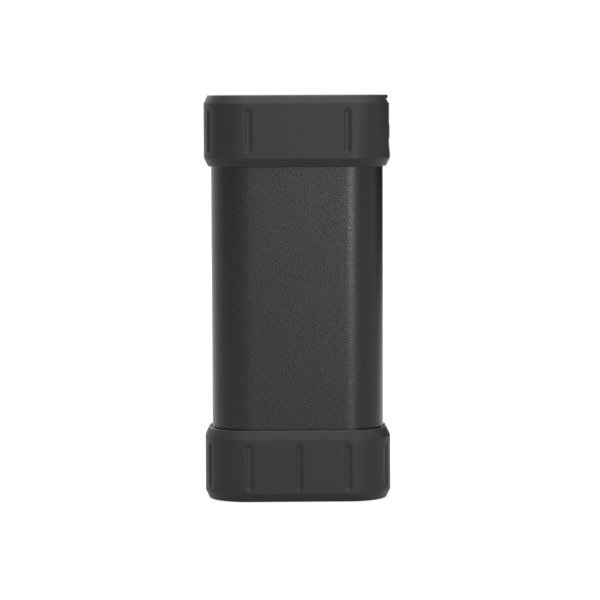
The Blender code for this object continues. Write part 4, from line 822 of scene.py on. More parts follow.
low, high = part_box("indicator_led_1")
middle = (low + high) / 2
lamp_resin, shader, place = new_finish("lamp_resin", {"Specular IOR Level": 0.6})
x, y, z = split(place)
off_middle = apart(y, middle.y).math("MAXIMUM", to_line(z - middle.z, LAMP_PITCH))
window_part = under(off_middle, WINDOW_HALF) * over(x, high.x - WINDOW_FACE, WINDOW_FACE / 4)
specks = noise(place, LAMP_SPECK_SCALE)
gloss = ramp(window_part - specks * 0.4, -0.3, 1.0, 0.42, 0.20)
paint(shader, mix(window_part, mix(specks, LAMP_SHADE, LAMP_WHITE), PHOSPHOR), gloss,
      specks * 0.2 - window_part * 0.8, WINDOW_DEPTH)
recolour(lamp_resin, *(f"indicator_led_{count}" for count in range(1, LAMP_COUNT + 1)))

low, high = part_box("light_pipe")
clear_plastic, shader, place = new_finish("clear_plastic", {"Transmission Weight": 0.9, "IOR": 1.49})
x, y, z = split(place)
frosted = over(x, high.x - FROST_LENGTH, FROST_FADE)
haze = noise(place, PIPE_HAZE_SCALE)
paint(shader, mix(haze, PIPE_SHADE, PIPE_CLEAR), ramp(frosted + haze * 0.2, 0.05, 1.1, 0.06, 0.50),
      haze * frosted, FROST_DEPTH)
recolour(clear_plastic, "light_pipe")


# Wires
# Stranded leads in silicone insulation: red and black from the cells, white from the heaters and the
# sensor. Handling leaves faint dull smears and a fine dust on them.
WIRE_RED_DARK = (0.44, 0.014, 0.012, 1)
WIRE_RED_LIGHT = (0.56, 0.028, 0.024, 1)
WIRE_BLACK_DARK = (0.014, 0.014, 0.014, 1)
WIRE_BLACK_LIGHT = (0.028, 0.028, 0.028, 1)
WIRE_WHITE_DARK = (0.62, 0.62, 0.59, 1)
WIRE_WHITE_LIGHT = (0.74, 0.74, 0.71, 1)
SMEAR_SCALE = 380
DUST_SCALE = 4800
SMEAR_DEPTH = 0.00003


def insulation(name, dark, light):
    """Silicone wire insulation with dull smears and dust."""
    material, principled, own_place = new_finish(name, {"Specular IOR Level": 0.5})
    smears = noise(own_place, SMEAR_SCALE, 3.0)
    dust = noise(own_place, DUST_SCALE)
    paint(principled, mix(ramp(smears * 0.6 + dust * 0.4, 0.35, 0.65), dark, light),
          spread(smears, 0.30, 0.52), dust * 0.5 + smears * 0.5, SMEAR_DEPTH)
    return material


recolour(insulation("wire_red", WIRE_RED_DARK, WIRE_RED_LIGHT), "battery_wire_red")
recolour(insulation("wire_black", WIRE_BLACK_DARK, WIRE_BLACK_LIGHT), "battery_wire_black")
recolour(insulation("wire_white", WIRE_WHITE_DARK, WIRE_WHITE_LIGHT), "thermistor_lead",
         "heater_wire_front_1", "heater_wire_front_2", "heater_wire_back_1", "heater_wire_back_2")


# Housings, gaskets and screws
# Black glass-filled end housings close the tube, each on a red silicone gasket with a moulded parting
# line. Plated steel screws hold the foot housing to the lower holder and the board to the upper housing.
HOUSING_DARK = (0.016, 0.016, 0.017, 1)
HOUSING_LIGHT = (0.027, 0.027, 0.028, 1)
GASKET_DARK = (0.24, 0.034, 0.020, 1)
GASKET_LIGHT = (0.33, 0.056, 0.034, 1)
GASKET_SCALE = 2600
PARTING_HALF = 0.00005
PARTING_HEIGHT = 0.00005
SCREW_BRIGHT = (0.42, 0.42, 0.42, 1)
SCREW_DARK = (0.25, 0.25, 0.26, 1)
PLATING_SCALE = 2200
THREAD_PITCH = 0.0007
THREAD_DEPTH = 0.0002
PLUG_SCREW_HEAD = 0.0018
BOARD_SCREW_HEAD = 0.0013

recolour(moulded("housing_plastic", HOUSING_DARK, HOUSING_LIGHT, 0.42, 0.58), "bottom_plug", "top_frame")


def parting_line(name, z):
    """Mask of the thin line half way up a gasket."""
    gasket_low, gasket_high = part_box(name)
    return under(apart(z, (gasket_low.z + gasket_high.z) / 2), PARTING_HALF)


seal_silicone, shader, place = new_finish("seal_silicone", {"Specular IOR Level": 0.4})
x, y, z = split(place)
dust = noise(place, GASKET_SCALE, 3.0)
parting = any_of(parting_line("bottom_gasket", z), parting_line("top_gasket", z))
paint(shader, mix(spread(dust), GASKET_DARK, GASKET_LIGHT), spread(dust, 0.55, 0.70),
      dust * 0.2 + parting * 0.8, PARTING_HEIGHT)
recolour(seal_silicone, "bottom_gasket", "top_gasket")


def screw_finish(name, axis, head_end):
    """Plated steel with a rolled thread past the head, whose end lies at a place along an axis. The
    thread's height is the distance of that place's coordinate from the nearest whole pitch."""
    material, principled, own_place = new_finish(name, {"Metallic": 1.0})
    along_axis = split(own_place)[axis]
    turns = to_line(along_axis, THREAD_PITCH) * (2 / THREAD_PITCH) * over(along_axis, head_end)
    plating = noise(own_place, PLATING_SCALE, 3.0)
    # The thread's roots are painted darker and its crests lighter, as painted shade in its grooves, over
    # the plating's own tone.
    paint(principled, mix(ramp(plating * 0.6 + turns * 0.4, 0.2, 0.7), SCREW_DARK, SCREW_BRIGHT),
          spread(plating, 0.26, 0.42), turns * 0.9 + plating * 0.1, THREAD_DEPTH)
    return material


plug_head_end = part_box("plug_screw_front")[0].z + PLUG_SCREW_HEAD
board_head_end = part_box("board_screw_left")[0].y + BOARD_SCREW_HEAD
recolour(screw_finish("plug_screw_steel", 2, plug_head_end), "plug_screw_front", "plug_screw_back")
recolour(screw_finish("board_screw_steel", 1, board_head_end), "board_screw_left", "board_screw_right")


# Tube
# The warmer's body, extruded aluminium with one wall all round, cut to length and deburred. A shallow
# groove is turned into it just over the lower bumper's rim. Its dark coat is finely textured.
TUBE_WALL = 0.0016
TUBE_CORNER = 0.0108
TUBE_INNER_CORNER = 0.0077
TUBE_EDGE = 0.0003
SEAM_DEPTH = 0.0004
SEAM_EDGE = 0.00005
SEAM_ABOVE_RIM = 0.00045
SEAM_BELOW_RIM = 0.0004

COAT_DARK = (0.0086, 0.0082, 0.0084, 1)
COAT_LIGHT = (0.0156, 0.0148, 0.0152, 1)
COAT_WARM = (0.050, 0.036, 0.039, 1)
COAT_COOL = (0.034, 0.0385, 0.036, 1)
FLAKE_SCALE = 5600
GRAIN_SCALE = 5200
TEXTURE_SCALE = 2900
TEXTURE_HEIGHT = 0.000043
TINT_SHIFT = (3, 5, 7)
CLOUD_SCALE = 60

BEND_STEPS = 4
EDGE_ROWS = 0.001
WALL_ROWS = 0.004


def profile_rows(stops):
    """Sections (half x, half y, corner, height) along a profile of straight stretches. Each stop is
    a section, the length over which its bend is rounded by a parabola, and the spacing of the rows
    that follow it."""
    rows = []
    sections = [np.array(stop[0], float) for stop in stops]
    for i, (section, (_, soft, spacing)) in enumerate(zip(sections, stops)):
        leaving = section
        if soft and 0 < i < len(stops) - 1:
            ends = []
            for other in (sections[i - 1], sections[i + 1]):
                way = other - section
                ends.append(section + way * soft / math.hypot(way[0], way[3]))
            share = np.linspace(0, 1, BEND_STEPS + 1)[:, None]
            pull = 2 * share * (1 - share)
            rows.extend((1 - share) ** 2 * ends[0] + pull * section + share ** 2 * ends[1])
            leaving = ends[1]
        else:
            rows.append(section)
        if i < len(stops) - 1:
            way = sections[i + 1] - section
            length = math.hypot(way[0], way[3])
            soft_ahead = stops[i + 1][1] if i < len(stops) - 2 else 0
            arriving = sections[i + 1] - way * soft_ahead / length
            gap = arriving - leaving
            count = max(math.ceil(math.hypot(gap[0], gap[3]) / spacing), 1)
            rows.extend(leaving + gap * k / count for k in range(1, count))
    return np.array(rows)


coat, shader, place = new_finish("coated_aluminium", {"Metallic": 0.35, "Specular IOR Level": 0.35})
flakes = noise(place, FLAKE_SCALE, 1.0, 0.5)
grain = noise(place, GRAIN_SCALE, 2.0, 0.6)
elsewhere = place.node("ShaderNodeVectorMath", {"operation": "ADD"}, {0: place, 1: TINT_SHIFT})
speck = mix(ramp(noise(elsewhere, GRAIN_SCALE), 0.42, 0.60), COAT_WARM, COAT_COOL)
ground = mix(ramp(grain, 0.36, 0.66), COAT_DARK, COAT_LIGHT)
paint(shader, mix(ramp(flakes, 0.58, 0.70), ground, speck),
      spread(noise(place, CLOUD_SCALE), 0.29, 0.32), noise(place, TEXTURE_SCALE, 1.0, 0.6), TEXTURE_HEIGHT)

low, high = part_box("body_shell")
middle_z = (low.z + high.z) / 2
half_x, half_y = high.x, high.y
wall = (half_x, half_y, TUBE_CORNER)
inner_wall = (half_x - TUBE_WALL, half_y - TUBE_WALL, TUBE_INNER_CORNER)
seam_wall = tuple(size - SEAM_DEPTH for size in wall)
rim_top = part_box("bottom_bumper")[1].z
seam_low, seam_high = rim_top - SEAM_BELOW_RIM, rim_top + SEAM_ABOVE_RIM
wall_rows = profile_rows([
    ((*wall, middle_z), 0, WALL_ROWS),
    ((*wall, high.z), TUBE_EDGE, EDGE_ROWS),
    ((*inner_wall, high.z), TUBE_EDGE, WALL_ROWS),
    ((*inner_wall, low.z), TUBE_EDGE, EDGE_ROWS),
    ((*wall, low.z), TUBE_EDGE, WALL_ROWS),
    ((*wall, seam_low - SEAM_EDGE), 0, EDGE_ROWS),
    ((*seam_wall, seam_low), 0, EDGE_ROWS),
    ((*seam_wall, seam_high), 0, EDGE_ROWS),
    ((*wall, seam_high + SEAM_EDGE), 0, WALL_ROWS),
    ((*wall, middle_z - TUBE_EDGE), 0, WALL_ROWS)])
tube = solid("tube", loft(wall_rows, even_path(12, 28)), capped=False)
dress(tube, coat, replaced=["body_shell"])


# Bottom bumper
# A moulded rubber cup with bevelled rims, which the warmer stands on. Short upright grooves with
# round ends are sunk into its front, its back and its corners. It is pushed on over the foot.
BUMPER_CORNER = 0.0120
BUMPER_GAP = 0.0002
POCKET_CORNER = 0.0102
LIP_DEPTH = 0.0020
LIP_STEP = 0.0004
RIM_CORNER = 0.0104
FOOT_BEVEL = 0.0012
FOOT_BEVEL_HEIGHT = 0.0024
RIM_BEVEL = 0.0012
RIM_BEVEL_HEIGHT = 0.0025
BUMPER_FLOOR = 0.0024
CAP_INSET = 0.0016
GROOVE_RADIUS = 0.0016
GROOVE_DEPTH = 0.0004
GROOVE_LIP = 0.0001
GROOVE_PITCH = 0.0138
GROOVE_TURN_SHARE = 29 / 90
GROOVE_END_ROOM = 0.0013
BOTTOM_GROOVE_LOW = 0.0034
BOTTOM_GROOVE_HIGH = 0.0164
BEND_SOFT = 0.00014
FINE_ROWS = 0.00016
COARSE_ROWS = 0.0008
RIM_ROWS = 0.0002
POCKET_ROWS = 0.003
FOOT_SOFT = 0.0004
RIM_SOFT = 0.00015
MOUTH_SOFT = 0.0001
FINE_STEP = 0.00014
COARSE_STEP = 0.0007
FINE_ZONE = 0.0016
FINE_REACH_SHARE = 1.3
PATH_SAMPLES = 8001
SMALLEST_HALF = 0.0001
SAME_PLACE = 1e-7


def around_apart(along, place, length):
    """Distance between two places on a closed outline of a length, the shorter way round."""
    return np.abs((along - place + length / 2) % length - length / 2)


def crowded_path(half_x, half_y, corner, crowded):
    """A path round an outline whose points crowd near some places on it. The points are evenly spread
    over the integral of their density, which falls off beside such a place in steps of a tenth. Also
    returns a function from places on the path to distances along the outline, and its whole length."""
    path = np.linspace(0, 8, PATH_SAMPLES)
    x, y, _, _ = outline(half_x, half_y, corner, path)
    along = np.concatenate([[0], np.cumsum(np.hypot(np.diff(x), np.diff(y)))])
    density = np.full(path.shape, 1 / COARSE_STEP)
    for spot in crowded:
        off = around_apart(along, np.interp(spot, path, along), along[-1])
        nearness = np.clip(FINE_REACH_SHARE - off / FINE_ZONE, 0, 1).round(1)
        density = np.maximum(density, (1 / FINE_STEP) * nearness)
    total = np.concatenate([[0], np.cumsum((density[1:] + density[:-1]) / 2 * np.diff(along))])
    count = int(total[-1])
    spread_evenly = np.interp(np.arange(count) / count * total[-1], total, path)
    return spread_evenly, lambda places: np.interp(places, path, along), along[-1]


def groove_spots(front, back, corners, flat_x):
    """Places on an outline's path of grooves that lie at some x on its front and back, and in corners.
    On the path the back runs from 2 to 3 and the front from 6 to 7."""
    spots = [6 + (x + flat_x) / (2 * flat_x) for x in front]
    spots += [2 + (flat_x - x) / (2 * flat_x) for x in back]
    return spots + list(corners)


def groove_depth(along, height, spots, low, high, length):
    """How deep round-ended grooves cut at a place on the surface. A groove is the part of a round rod
    that sticks into the rubber: the root of (radius squared less distance squared), less the share of
    the radius that stays outside. Where it meets the face it is rounded off, as half the sum of it and
    the root of (its square plus the lip squared), which comes down to zero one groove depth outside."""
    end_room = math.sqrt(GROOVE_RADIUS ** 2 - (GROOVE_RADIUS - GROOVE_DEPTH) ** 2)
    middle, reach = (low + high) / 2, (high - low) / 2 - end_room
    outside = (math.hypot(GROOVE_DEPTH, GROOVE_LIP) - GROOVE_DEPTH) / 2
    depth = np.zeros(np.broadcast(along, height).shape)
    for spot in spots:
        aside = around_apart(along, spot, length)
        beyond = np.maximum(np.abs(height - middle) - reach, 0)
        rod = np.sqrt(np.maximum(GROOVE_RADIUS ** 2 - aside ** 2 - beyond ** 2, 0))
        sunk = rod - (GROOVE_RADIUS - GROOVE_DEPTH)
        soft = (sunk + np.sqrt(sunk ** 2 + GROOVE_LIP ** 2)) / 2
        depth += np.maximum(soft - outside, 0)
    return depth


def push_in(grid, rows, path, depth):
    """Move a grid's points inwards, square to the outline, by a depth."""
    _, _, cosine, sine = outline(rows[:, :1], rows[:, 1:2], rows[:, 2:3], path)
    moved = grid.copy()
    moved[..., 0] -= depth * cosine
    moved[..., 1] -= depth * sine
    return moved


def inset(section, step):
    """A rounded section (half x, half y, corner) drawn in evenly on all sides, but not to nothing."""
    return tuple(max(size - step, SMALLEST_HALF) for size in section)


RUBBER_DARK = (0.0166, 0.0164, 0.0177, 1)
RUBBER_LIGHT = (0.0224, 0.0222, 0.0240, 1)
RUBBER_WORN = (0.060, 0.060, 0.062, 1)
RUBBER_CLOUD_SCALE = 90
RUBBER_GRAIN_SCALE = 3800
RUBBER_WAVE_SCALE = 1500
RUBBER_SPECK_SCALE = 900
RUBBER_DEPTH = 0.000018


def rubber_finish(name, dark, light):
    """Matt moulded rubber: a fine eroded grain, faint clouds of tone and a few pale dust specks."""
    material, principled, own_place = new_finish(name, {"Specular IOR Level": 0.22})
    clouds = noise(own_place, RUBBER_CLOUD_SCALE, 3.0)
    fine = noise(own_place, RUBBER_GRAIN_SCALE, 2.0, 0.6)
    specks = ramp(noise(own_place, RUBBER_SPECK_SCALE, 1.0), 0.80, 0.86) * 0.5
    tone = mix(ramp(clouds * 0.6 + fine * 0.4, 0.35, 0.65), dark, light)
    paint(principled, mix(specks, tone, RUBBER_WORN), spread(clouds, 0.45, 0.53),
          fine * 0.7 + noise(own_place, RUBBER_WAVE_SCALE) * 0.3, RUBBER_DEPTH)
    return material


bumper_rubber = rubber_finish("bumper_rubber", RUBBER_DARK, RUBBER_LIGHT)

low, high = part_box("bottom_bumper")
wide_x, wide_y = high.x, high.y
flat_x = wide_x - BUMPER_CORNER
pocket = (half_x + BUMPER_GAP, half_y + BUMPER_GAP, POCKET_CORNER)
mouth = (half_x + BUMPER_GAP, half_y + BUMPER_GAP, TUBE_CORNER + BUMPER_GAP)
rim_x, rim_y = wide_x - RIM_BEVEL, wide_y - RIM_BEVEL
side_low, side_high = FOOT_BEVEL_HEIGHT, high.z - RIM_BEVEL_HEIGHT
foot = (wide_x - FOOT_BEVEL, wide_y - FOOT_BEVEL, BUMPER_CORNER - FOOT_BEVEL)
side = (wide_x, wide_y, BUMPER_CORNER)
cup_rows = profile_rows([
    ((*inset(foot, CAP_INSET), low.z), 0, EDGE_ROWS),
    ((*foot, low.z), FOOT_SOFT, COARSE_ROWS),
    ((*side, side_low), BEND_SOFT, FINE_ROWS),
    ((*side, BOTTOM_GROOVE_LOW + GROOVE_END_ROOM), 0, COARSE_ROWS),
    ((*side, BOTTOM_GROOVE_HIGH - GROOVE_END_ROOM), 0, FINE_ROWS),
    ((*side, side_high), BEND_SOFT, COARSE_ROWS),
    ((rim_x, rim_y, RIM_CORNER, high.z), RIM_SOFT, RIM_ROWS),
    ((*mouth, high.z), MOUTH_SOFT, POCKET_ROWS),
    ((*mouth, high.z - LIP_DEPTH), 0, EDGE_ROWS),
    ((*pocket, high.z - LIP_DEPTH - LIP_STEP), 0, POCKET_ROWS),
    ((*pocket, BUMPER_FLOOR), 0, POCKET_ROWS)])
spots = groove_spots(
    (-GROOVE_PITCH, 0, GROOVE_PITCH), (-GROOVE_PITCH, 0, GROOVE_PITCH),
    (1 + GROOVE_TURN_SHARE, 4 - GROOVE_TURN_SHARE, 5 + GROOVE_TURN_SHARE, 8 - GROOVE_TURN_SHARE), flat_x)
path, along_at, around = crowded_path(*side, spots)
on_side = np.abs(cup_rows[:, :1] - wide_x) < SAME_PLACE
depth = groove_depth(
    along_at(path)[None, :], cup_rows[:, 3:], along_at(spots), BOTTOM_GROOVE_LOW, BOTTOM_GROOVE_HIGH,
    around) * on_side
grid = push_in(loft(cup_rows, path), cup_rows, path, depth)
bottom_cup = solid("bottom_cup", grid)
dress(bottom_cup, bumper_rubber, replaced=["bottom_bumper"])


# Top bumper
# The same rubber over the upper housing. Its top is open for the port cover and its pull tab, with a
# finger scoop at the right. The right side is drawn in round the button, and holds four light holes.
TOP_BEVEL = 0.0011
TOP_BEVEL_HEIGHT = 0.0023
SKIRT_BEVEL = 0.0012
SKIRT_BEVEL_HEIGHT = 0.0023
SKIRT_CORNER = 0.0104
TOP_GROOVE_TOP = 0.0037
TOP_GROOVE_LENGTH = 0.0125
FIELD_DEPTH = 0.00025
FIELD_FOOT = 0.0028
FIELD_RISE = 0.0036
FIELD_HALF_WIDTH = 0.0059
FIELD_FADE = 0.0018
RIGHT_MIDDLE = 0.5
CLEARANCE = 0.0003
OVERRUN = 0.001
CUT_PAST = 0.0005
EDGE_ROUND = 0.0002
BRIM_SOFT = 0.00018
MOUTH_ROWS = 0.002
BEVEL_ROWS = 0.0006
CHANNEL_CORNER = 0.0004
CHANNEL_OVERLAP = 0.0006
COVER_CORNER = 0.0016
COVER_MARGIN = 0.0030
TAB_THICKNESS = 0.0010
TAB_HALF_WIDTH = 0.0040
SCOOP_HALF_WIDTH = 0.0062
SCOOP_DEPTH = 0.0017
SCOOP_LENGTH = 0.0026
# Sections of the scoop: how much wider and deeper it is, its corner, and the place past its inner end
# or past the brim.
SCOOP_INNER_END = (
    (-0.0012, -0.0009, 0.0006, -0.0006),
    (-0.0006, -0.0004, 0.0010, -0.0003),
    (-0.0002, -0.0001, 0.0012, 0.0003),
    (0, 0, 0.0013, 0.0012))
SCOOP_MOUTH = (
    (0, 0, 0.0013, -0.0006),
    (0.0002, 0.0002, 0.0014, 0.0002),
    (0.0009, 0.0009, 0.0016, 0.0012))
BUTTON_HALF_WIDTH = 0.0048
BUTTON_HALF_HEIGHT = 0.0032
BUTTON_CORNER = 0.0028
BUTTON_BELOW_TOP = 0.01025
OPENING_INNER_END = 0.0006
# Steps of the button opening's edge: how much wider it is, and the place past the bumper's face.
OPENING_EDGE = ((0, -0.0005), (0.0001, -0.00035), (0.0006, 0), (0.0010, 0.0008))
STUD_RADIUS = 0.00055
STUD_FROM_BACK = 0.0008
HOLE_LENGTH = 0.0030


def smoothstep(value):
    """Zero below 0, one above 1 and 3t^2 - 2t^3 between."""
    t = np.clip(value, 0, 1)
    return t * t * (3 - 2 * t)


def side_fall(y):
    """How far the bumper's rounded side lies behind its flat middle at a distance y from it."""
    past_flat = np.maximum(np.abs(y) - (wide_y - BUMPER_CORNER), 0)
    return BUMPER_CORNER - np.sqrt(BUMPER_CORNER ** 2 - past_flat ** 2)


def grown_rows(section, stops):
    """Sections along a cutter: at each stop (step, height) the section grown by the step all round."""
    return np.array([(*inset(section, -step), height) for step, height in stops])


def carve(piece, cutters, operation="DIFFERENCE"):
    """Cut solids out of a piece, or join them to it, and remove them."""
    for cutter in cutters:
        modifier = piece.modifiers.new(cutter.name, "BOOLEAN")
        modifier.operation = operation
        modifier.solver = "EXACT"
        modifier.object = cutter
    depsgraph = bpy.context.evaluated_depsgraph_get()
    cut_mesh = bpy.data.meshes.new_from_object(piece.evaluated_get(depsgraph))
    piece.modifiers.clear()
    piece.data = cut_mesh
    for cutter in cutters:
        bpy.data.objects.remove(cutter)


low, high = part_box("top_bumper")
top = high.z
roof_low = top - BUMPER_FLOOR
side_low, side_high = low.z + SKIRT_BEVEL_HEIGHT, top - TOP_BEVEL_HEIGHT
skirt = (wide_x - SKIRT_BEVEL, wide_y - SKIRT_BEVEL, SKIRT_CORNER)
brim = (wide_x - TOP_BEVEL, wide_y - TOP_BEVEL, BUMPER_CORNER - TOP_BEVEL)
groove_high = top - TOP_GROOVE_TOP
groove_low = groove_high - TOP_GROOVE_LENGTH
cap_rows = profile_rows([
    ((*pocket, roof_low), 0, WALL_ROWS),
    ((*pocket, low.z + LIP_DEPTH + LIP_STEP), 0, EDGE_ROWS),
    ((*mouth, low.z + LIP_DEPTH), 0, MOUTH_ROWS),
    ((*mouth, low.z), MOUTH_SOFT, RIM_ROWS),
    ((*skirt, low.z), EDGE_ROUND, COARSE_ROWS),
    ((*side, side_low), BEND_SOFT, FINE_ROWS),
    ((*side, groove_low + GROOVE_END_ROOM), 0, COARSE_ROWS),
    ((*side, groove_high - GROOVE_END_ROOM), 0, FINE_ROWS),
    ((*side, side_high), BEND_SOFT, BEVEL_ROWS),
    ((*brim, top), BRIM_SOFT, BEVEL_ROWS),
    ((*inset(brim, CAP_INSET), top), 0, EDGE_ROWS)])
spots = groove_spots(
    (-GROOVE_PITCH, GROOVE_PITCH), (-GROOVE_PITCH, 0, GROOVE_PITCH),
    (4 - GROOVE_TURN_SHARE, 5 + GROOVE_TURN_SHARE), flat_x)
path, along_at, around = crowded_path(*side, spots)
along = along_at(path)[None, :]
height = cap_rows[:, 3:]
on_side = np.abs(cap_rows[:, :1] - wide_x) < SAME_PLACE
depth = groove_depth(along, height, along_at(spots), groove_low, groove_high, around) * on_side
aside = around_apart(along, along_at(RIGHT_MIDDLE), around)
# Only the outer skin, from the skirt's foot up to the top, is drawn in round the button.
outer = (cap_rows[:, :1] > skirt[0] - SAME_PLACE) | (height > top - SAME_PLACE)
field = smoothstep((height - low.z - FIELD_FOOT) / FIELD_RISE)
field = field * smoothstep((FIELD_HALF_WIDTH + FIELD_FADE - aside) / FIELD_FADE) * FIELD_DEPTH
grid = push_in(loft(cap_rows, path), cap_rows, path, depth + field * outer)
top_cap = solid("top_cap", grid)

root_low, root_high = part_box("port_cover_root")
cover_low, cover_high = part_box("port_cover")
window_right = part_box("usb_c_shell")[1].x + COVER_MARGIN + CLEARANCE
window_left = root_low.x - CLEARANCE
window_x = (window_right - window_left) / 2
window_y = cover_high.y + CLEARANCE
window_corner = COVER_CORNER + CLEARANCE
window = solid("window_cutter", loft(grown_rows((window_x, window_y, window_corner), [
    (0, roof_low - CUT_PAST),
    (0, top - EDGE_ROUND),
    (EDGE_ROUND / 2, top - EDGE_ROUND * 0.3),
    (EDGE_ROUND, top),
    (EDGE_ROUND + CUT_PAST, top + CUT_PAST)]),
    even_path(4, 8), ((window_right + window_left) / 2, 0)))
channel_x = (wide_x + OVERRUN - (window_right - CHANNEL_OVERLAP)) / 2
channel_y = TAB_HALF_WIDTH + CLEARANCE
channel_floor = top - TAB_THICKNESS - CLEARANCE
channel = solid("channel_cutter", loft(np.array([
    (channel_x, channel_y - EDGE_ROUND, CHANNEL_CORNER, channel_floor),
    (channel_x, channel_y, CHANNEL_CORNER, channel_floor + EDGE_ROUND),
    (channel_x, channel_y, CHANNEL_CORNER, top - EDGE_ROUND),
    (channel_x, channel_y + EDGE_ROUND, CHANNEL_CORNER, top),
    (channel_x, channel_y + EDGE_ROUND + CUT_PAST, CHANNEL_CORNER, top + CUT_PAST)]),
    even_path(4, 4), (wide_x + OVERRUN - channel_x, 0)))
scoop_rows = np.array([
    (SCOOP_HALF_WIDTH + wider, SCOOP_DEPTH + deeper, corner, start + past)
    for start, sections in ((brim[0] - SCOOP_LENGTH, SCOOP_INNER_END), (brim[0], SCOOP_MOUTH))
    for wider, deeper, corner, past in sections])
scoop = solid("scoop_cutter", loft(scoop_rows, even_path(4, 8), (0, top), "x"))

button_z = top - BUTTON_BELOW_TOP
face = wide_x - FIELD_DEPTH
pad = (BUTTON_HALF_WIDTH, BUTTON_HALF_HEIGHT, BUTTON_CORNER)
opening_rows = grown_rows(pad, [(CLEARANCE, half_x - OPENING_INNER_END)] + [
    (CLEARANCE + wider, face + past) for wider, past in OPENING_EDGE])
opening_grid = loft(opening_rows, even_path(12, 10), (0, button_z), "x")
opening_grid[1:, :, 0] -= side_fall(opening_grid[1:, :, 1])
opening = solid("opening_cutter", opening_grid)

light_low, light_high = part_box("light_pipe")
stud_y = light_high.y - STUD_FROM_BACK
stud_middle = (light_low.z + light_high.z) / 2
hole_rows = grown_rows((STUD_RADIUS,) * 3, [
    (CLEARANCE, half_x - HOLE_LENGTH), (CLEARANCE, wide_x + OVERRUN)])
light_holes = []
for i in range(LAMP_COUNT):
    spot = (stud_y, stud_middle + (i - (LAMP_COUNT - 1) / 2) * LAMP_PITCH)
    light_holes.append(solid("light_hole", loft(hole_rows, even_path(1, 6), spot, "x")))
carve(top_cap, [window, channel, scoop, opening] + light_holes)
dress(top_cap, bumper_rubber, replaced=["top_bumper"])


# Power button
# A moulded rubber pad with a flange behind the bumper's opening and a stem that reaches the switch.
# Its face is softly crowned and follows the side's curve.
STEM_RADIUS = 0.0016
STEM_LENGTH = 0.0027
FLANGE_THICKNESS = 0.0008
FLANGE_LIP = 0.0007
BUTTON_PROUD = 0.0001
BUTTON_EDGE = 0.0006
BUTTON_CROWN = 0.0001
CROWN_START = 0.0010
CROWN_TOP = 0.0027
CROWN_SOFT = 0.0005
STEM_TIP_INSET = 0.0005
PAD_ROWS = 0.0005
PAD_EDGE_ROWS = 0.0003
BUTTON_DARK = (0.009, 0.009, 0.0095, 1)
BUTTON_LIGHT = (0.014, 0.014, 0.0148, 1)

low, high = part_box("power_button")
flange_inner = low.x + STEM_LENGTH
flange_outer = flange_inner + FLANGE_THICKNESS
stem = (STEM_RADIUS,) * 3
flange = tuple(size + FLANGE_LIP for size in pad)
pad_face = face + BUTTON_PROUD
button_rows = profile_rows([
    ((*inset(stem, STEM_TIP_INSET), low.x), 0, EDGE_ROWS),
    ((*stem, low.x), EDGE_ROUND, EDGE_ROWS),
    ((*stem, flange_inner), EDGE_ROUND, MOUTH_ROWS),
    ((*flange, flange_inner), EDGE_ROUND / 2, EDGE_ROWS),
    ((*flange, flange_outer), EDGE_ROUND / 2, EDGE_ROWS),
    ((*pad, flange_outer), EDGE_ROUND / 2, PAD_ROWS),
    ((*pad, pad_face - EDGE_ROUND), BUTTON_EDGE, PAD_EDGE_ROWS),
    ((*inset(pad, CROWN_START), pad_face), CROWN_SOFT, PAD_ROWS),
    ((*inset(pad, CROWN_TOP), pad_face + BUTTON_CROWN), 0, PAD_ROWS)])
button_grid = loft(button_rows, even_path(10, 12), (0, button_z), "x")
on_pad = button_rows[:, 3:] > flange_outer + EDGE_ROUND
button_grid[..., 0] -= side_fall(button_grid[..., 1]) * on_pad
button = solid("button", button_grid)
button_rubber = rubber_finish("button_rubber", BUTTON_DARK, BUTTON_LIGHT)
dress(button, button_rubber, "button", ["power_button"])


# Port cover
# A rubber flap pressed into the top window, with a plug for each port below it and a pull tab that
# reaches the right rim. Its left end is a fixed strip with a barbed stud, and a thin web joins them.
COVER_DARK = (0.0155, 0.0158, 0.0168, 1)
COVER_LIGHT = (0.0215, 0.0218, 0.0230, 1)
PLATE_FOOT_EDGE = 0.0001
FACE_INSET = 0.001
PLATE_EDGE = 0.00025
TAB_EDGE = 0.0003
TAB_CORNER = 0.0015
TAB_ROOT = 0.0012
TAB_REACH = 0.0003
PORT_WALL = 0.0003
PLUG_GAP = 0.0006
PLUG_TIP_INSET = 0.0003
PLUG_OVERLAP = 0.0010
SMALL_PLUG_CORNER = 0.00073


def slab_rows(section, low, high, foot_edge, top_edge):
    """Sections of a flat piece between two heights, whose lower and upper edges are rounded."""
    flat = inset(section, FACE_INSET)
    return profile_rows([
        ((*flat, low), 0, EDGE_ROWS), ((*section, low), foot_edge, EDGE_ROWS),
        ((*section, high), top_edge, EDGE_ROWS), ((*flat, high), 0, EDGE_ROWS)])


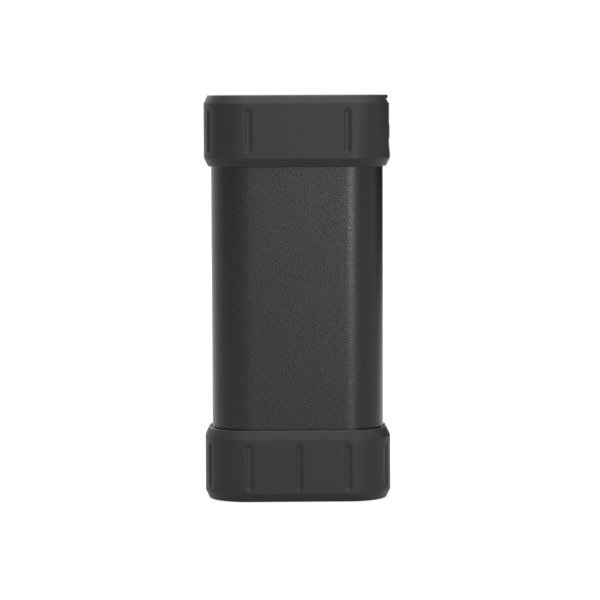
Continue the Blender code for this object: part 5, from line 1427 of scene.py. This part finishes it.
cover_rubber = rubber_finish("cover_rubber", COVER_DARK, COVER_LIGHT)
cover_right = window_right - CLEARANCE
plate_x = (cover_right - cover_low.x) / 2
plate_middle = (cover_right + cover_low.x) / 2
plate_y = cover_high.y
plate_low = root_high.z - BUMPER_FLOOR
plate = (plate_x, plate_y, COVER_CORNER)
plate_rows = slab_rows(plate, plate_low, top, PLATE_FOOT_EDGE, PLATE_EDGE)
cover = solid("cover", loft(plate_rows, even_path(8, 10), (plate_middle, 0)))
tab_end = cover_high.x + TAB_REACH
tab_x = (tab_end - (cover_right - TAB_ROOT)) / 2
tab = (tab_x, TAB_HALF_WIDTH, TAB_CORNER)
tab_rows = slab_rows(tab, top - TAB_THICKNESS, top, TAB_EDGE, TAB_EDGE)
tab_piece = solid("tab", loft(tab_rows, even_path(8, 10), (tab_end - tab_x, 0)))
plugs = []
for shell, corner in (("usb_a_shell", PORT_WALL), ("usb_c_shell", SMALL_PLUG_CORNER)):
    low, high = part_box(shell)
    plug_x = (high.x - low.x) / 2 - PORT_WALL - PLUG_GAP
    plug_y = (high.y - low.y) / 2 - PORT_WALL - PLUG_GAP
    plug = (plug_x, plug_y, min(corner, plug_y))
    plug_rows = profile_rows([
        ((*inset(plug, PLUG_TIP_INSET), cover_low.z), 0, EDGE_ROWS),
        ((*plug, cover_low.z), EDGE_ROUND, EDGE_ROWS),
        ((*plug, plate_low + PLUG_OVERLAP), 0, EDGE_ROWS)])
    plugs.append(solid("plug", loft(
        plug_rows, even_path(4, 6), ((low.x + high.x) / 2, (low.y + high.y) / 2))))
carve(cover, [tab_piece] + plugs, "UNION")
dress(cover, cover_rubber, "cover_flap", ["port_cover"])

STUD_STEM_RADIUS = 0.0014
BARB_RADIUS = 0.0019
BARB_HEIGHT = 0.0008
BARB_TAPER = 0.0006
root_half = (root_high.x - root_low.x) / 2
strip = (root_half, root_high.y, COVER_CORNER)
barb_top = root_low.z + BARB_HEIGHT
barb = (BARB_RADIUS,) * 3
stud_stem = (STUD_STEM_RADIUS,) * 3
root_rows = profile_rows([
    ((*inset(barb, BARB_TAPER), root_low.z), 0, EDGE_ROWS),
    ((*barb, barb_top), PLATE_FOOT_EDGE, EDGE_ROWS),
    ((*stud_stem, barb_top), PLATE_FOOT_EDGE, EDGE_ROWS),
    ((*stud_stem, plate_low), PLATE_FOOT_EDGE, EDGE_ROWS),
    ((*strip, plate_low), PLATE_FOOT_EDGE, EDGE_ROWS),
    ((*strip, top), PLATE_EDGE, EDGE_ROWS),
    ((*inset(strip, FACE_INSET), top), 0, EDGE_ROWS)])
root = solid("cover_root", loft(root_rows, even_path(8, 10), ((root_low.x + root_high.x) / 2, 0)))
dress(root, cover_rubber, replaced=["port_cover_root"])

WEB_OVERLAP = 0.0004
WEB_SINK = 0.00012
WEB_THICKNESS = 0.0006
WEB_END_ROOM = 0.0006
WEB_CORNER = 0.0001
web_x = (cover_low.x - root_high.x) / 2 + WEB_OVERLAP
web_z = WEB_THICKNESS / 2
web_y = plate_y - WEB_END_ROOM
web_rows = profile_rows([
    ((web_z, web_x, WEB_CORNER, -web_y), 0, EDGE_ROWS), ((web_z, web_x, WEB_CORNER, web_y), 0, EDGE_ROWS)])
web = solid("cover_web", loft(
    web_rows, even_path(12, 2), (top - WEB_SINK - web_z, (cover_low.x + root_high.x) / 2), "y"))
finish_piece(web, cover_rubber)
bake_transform(web)
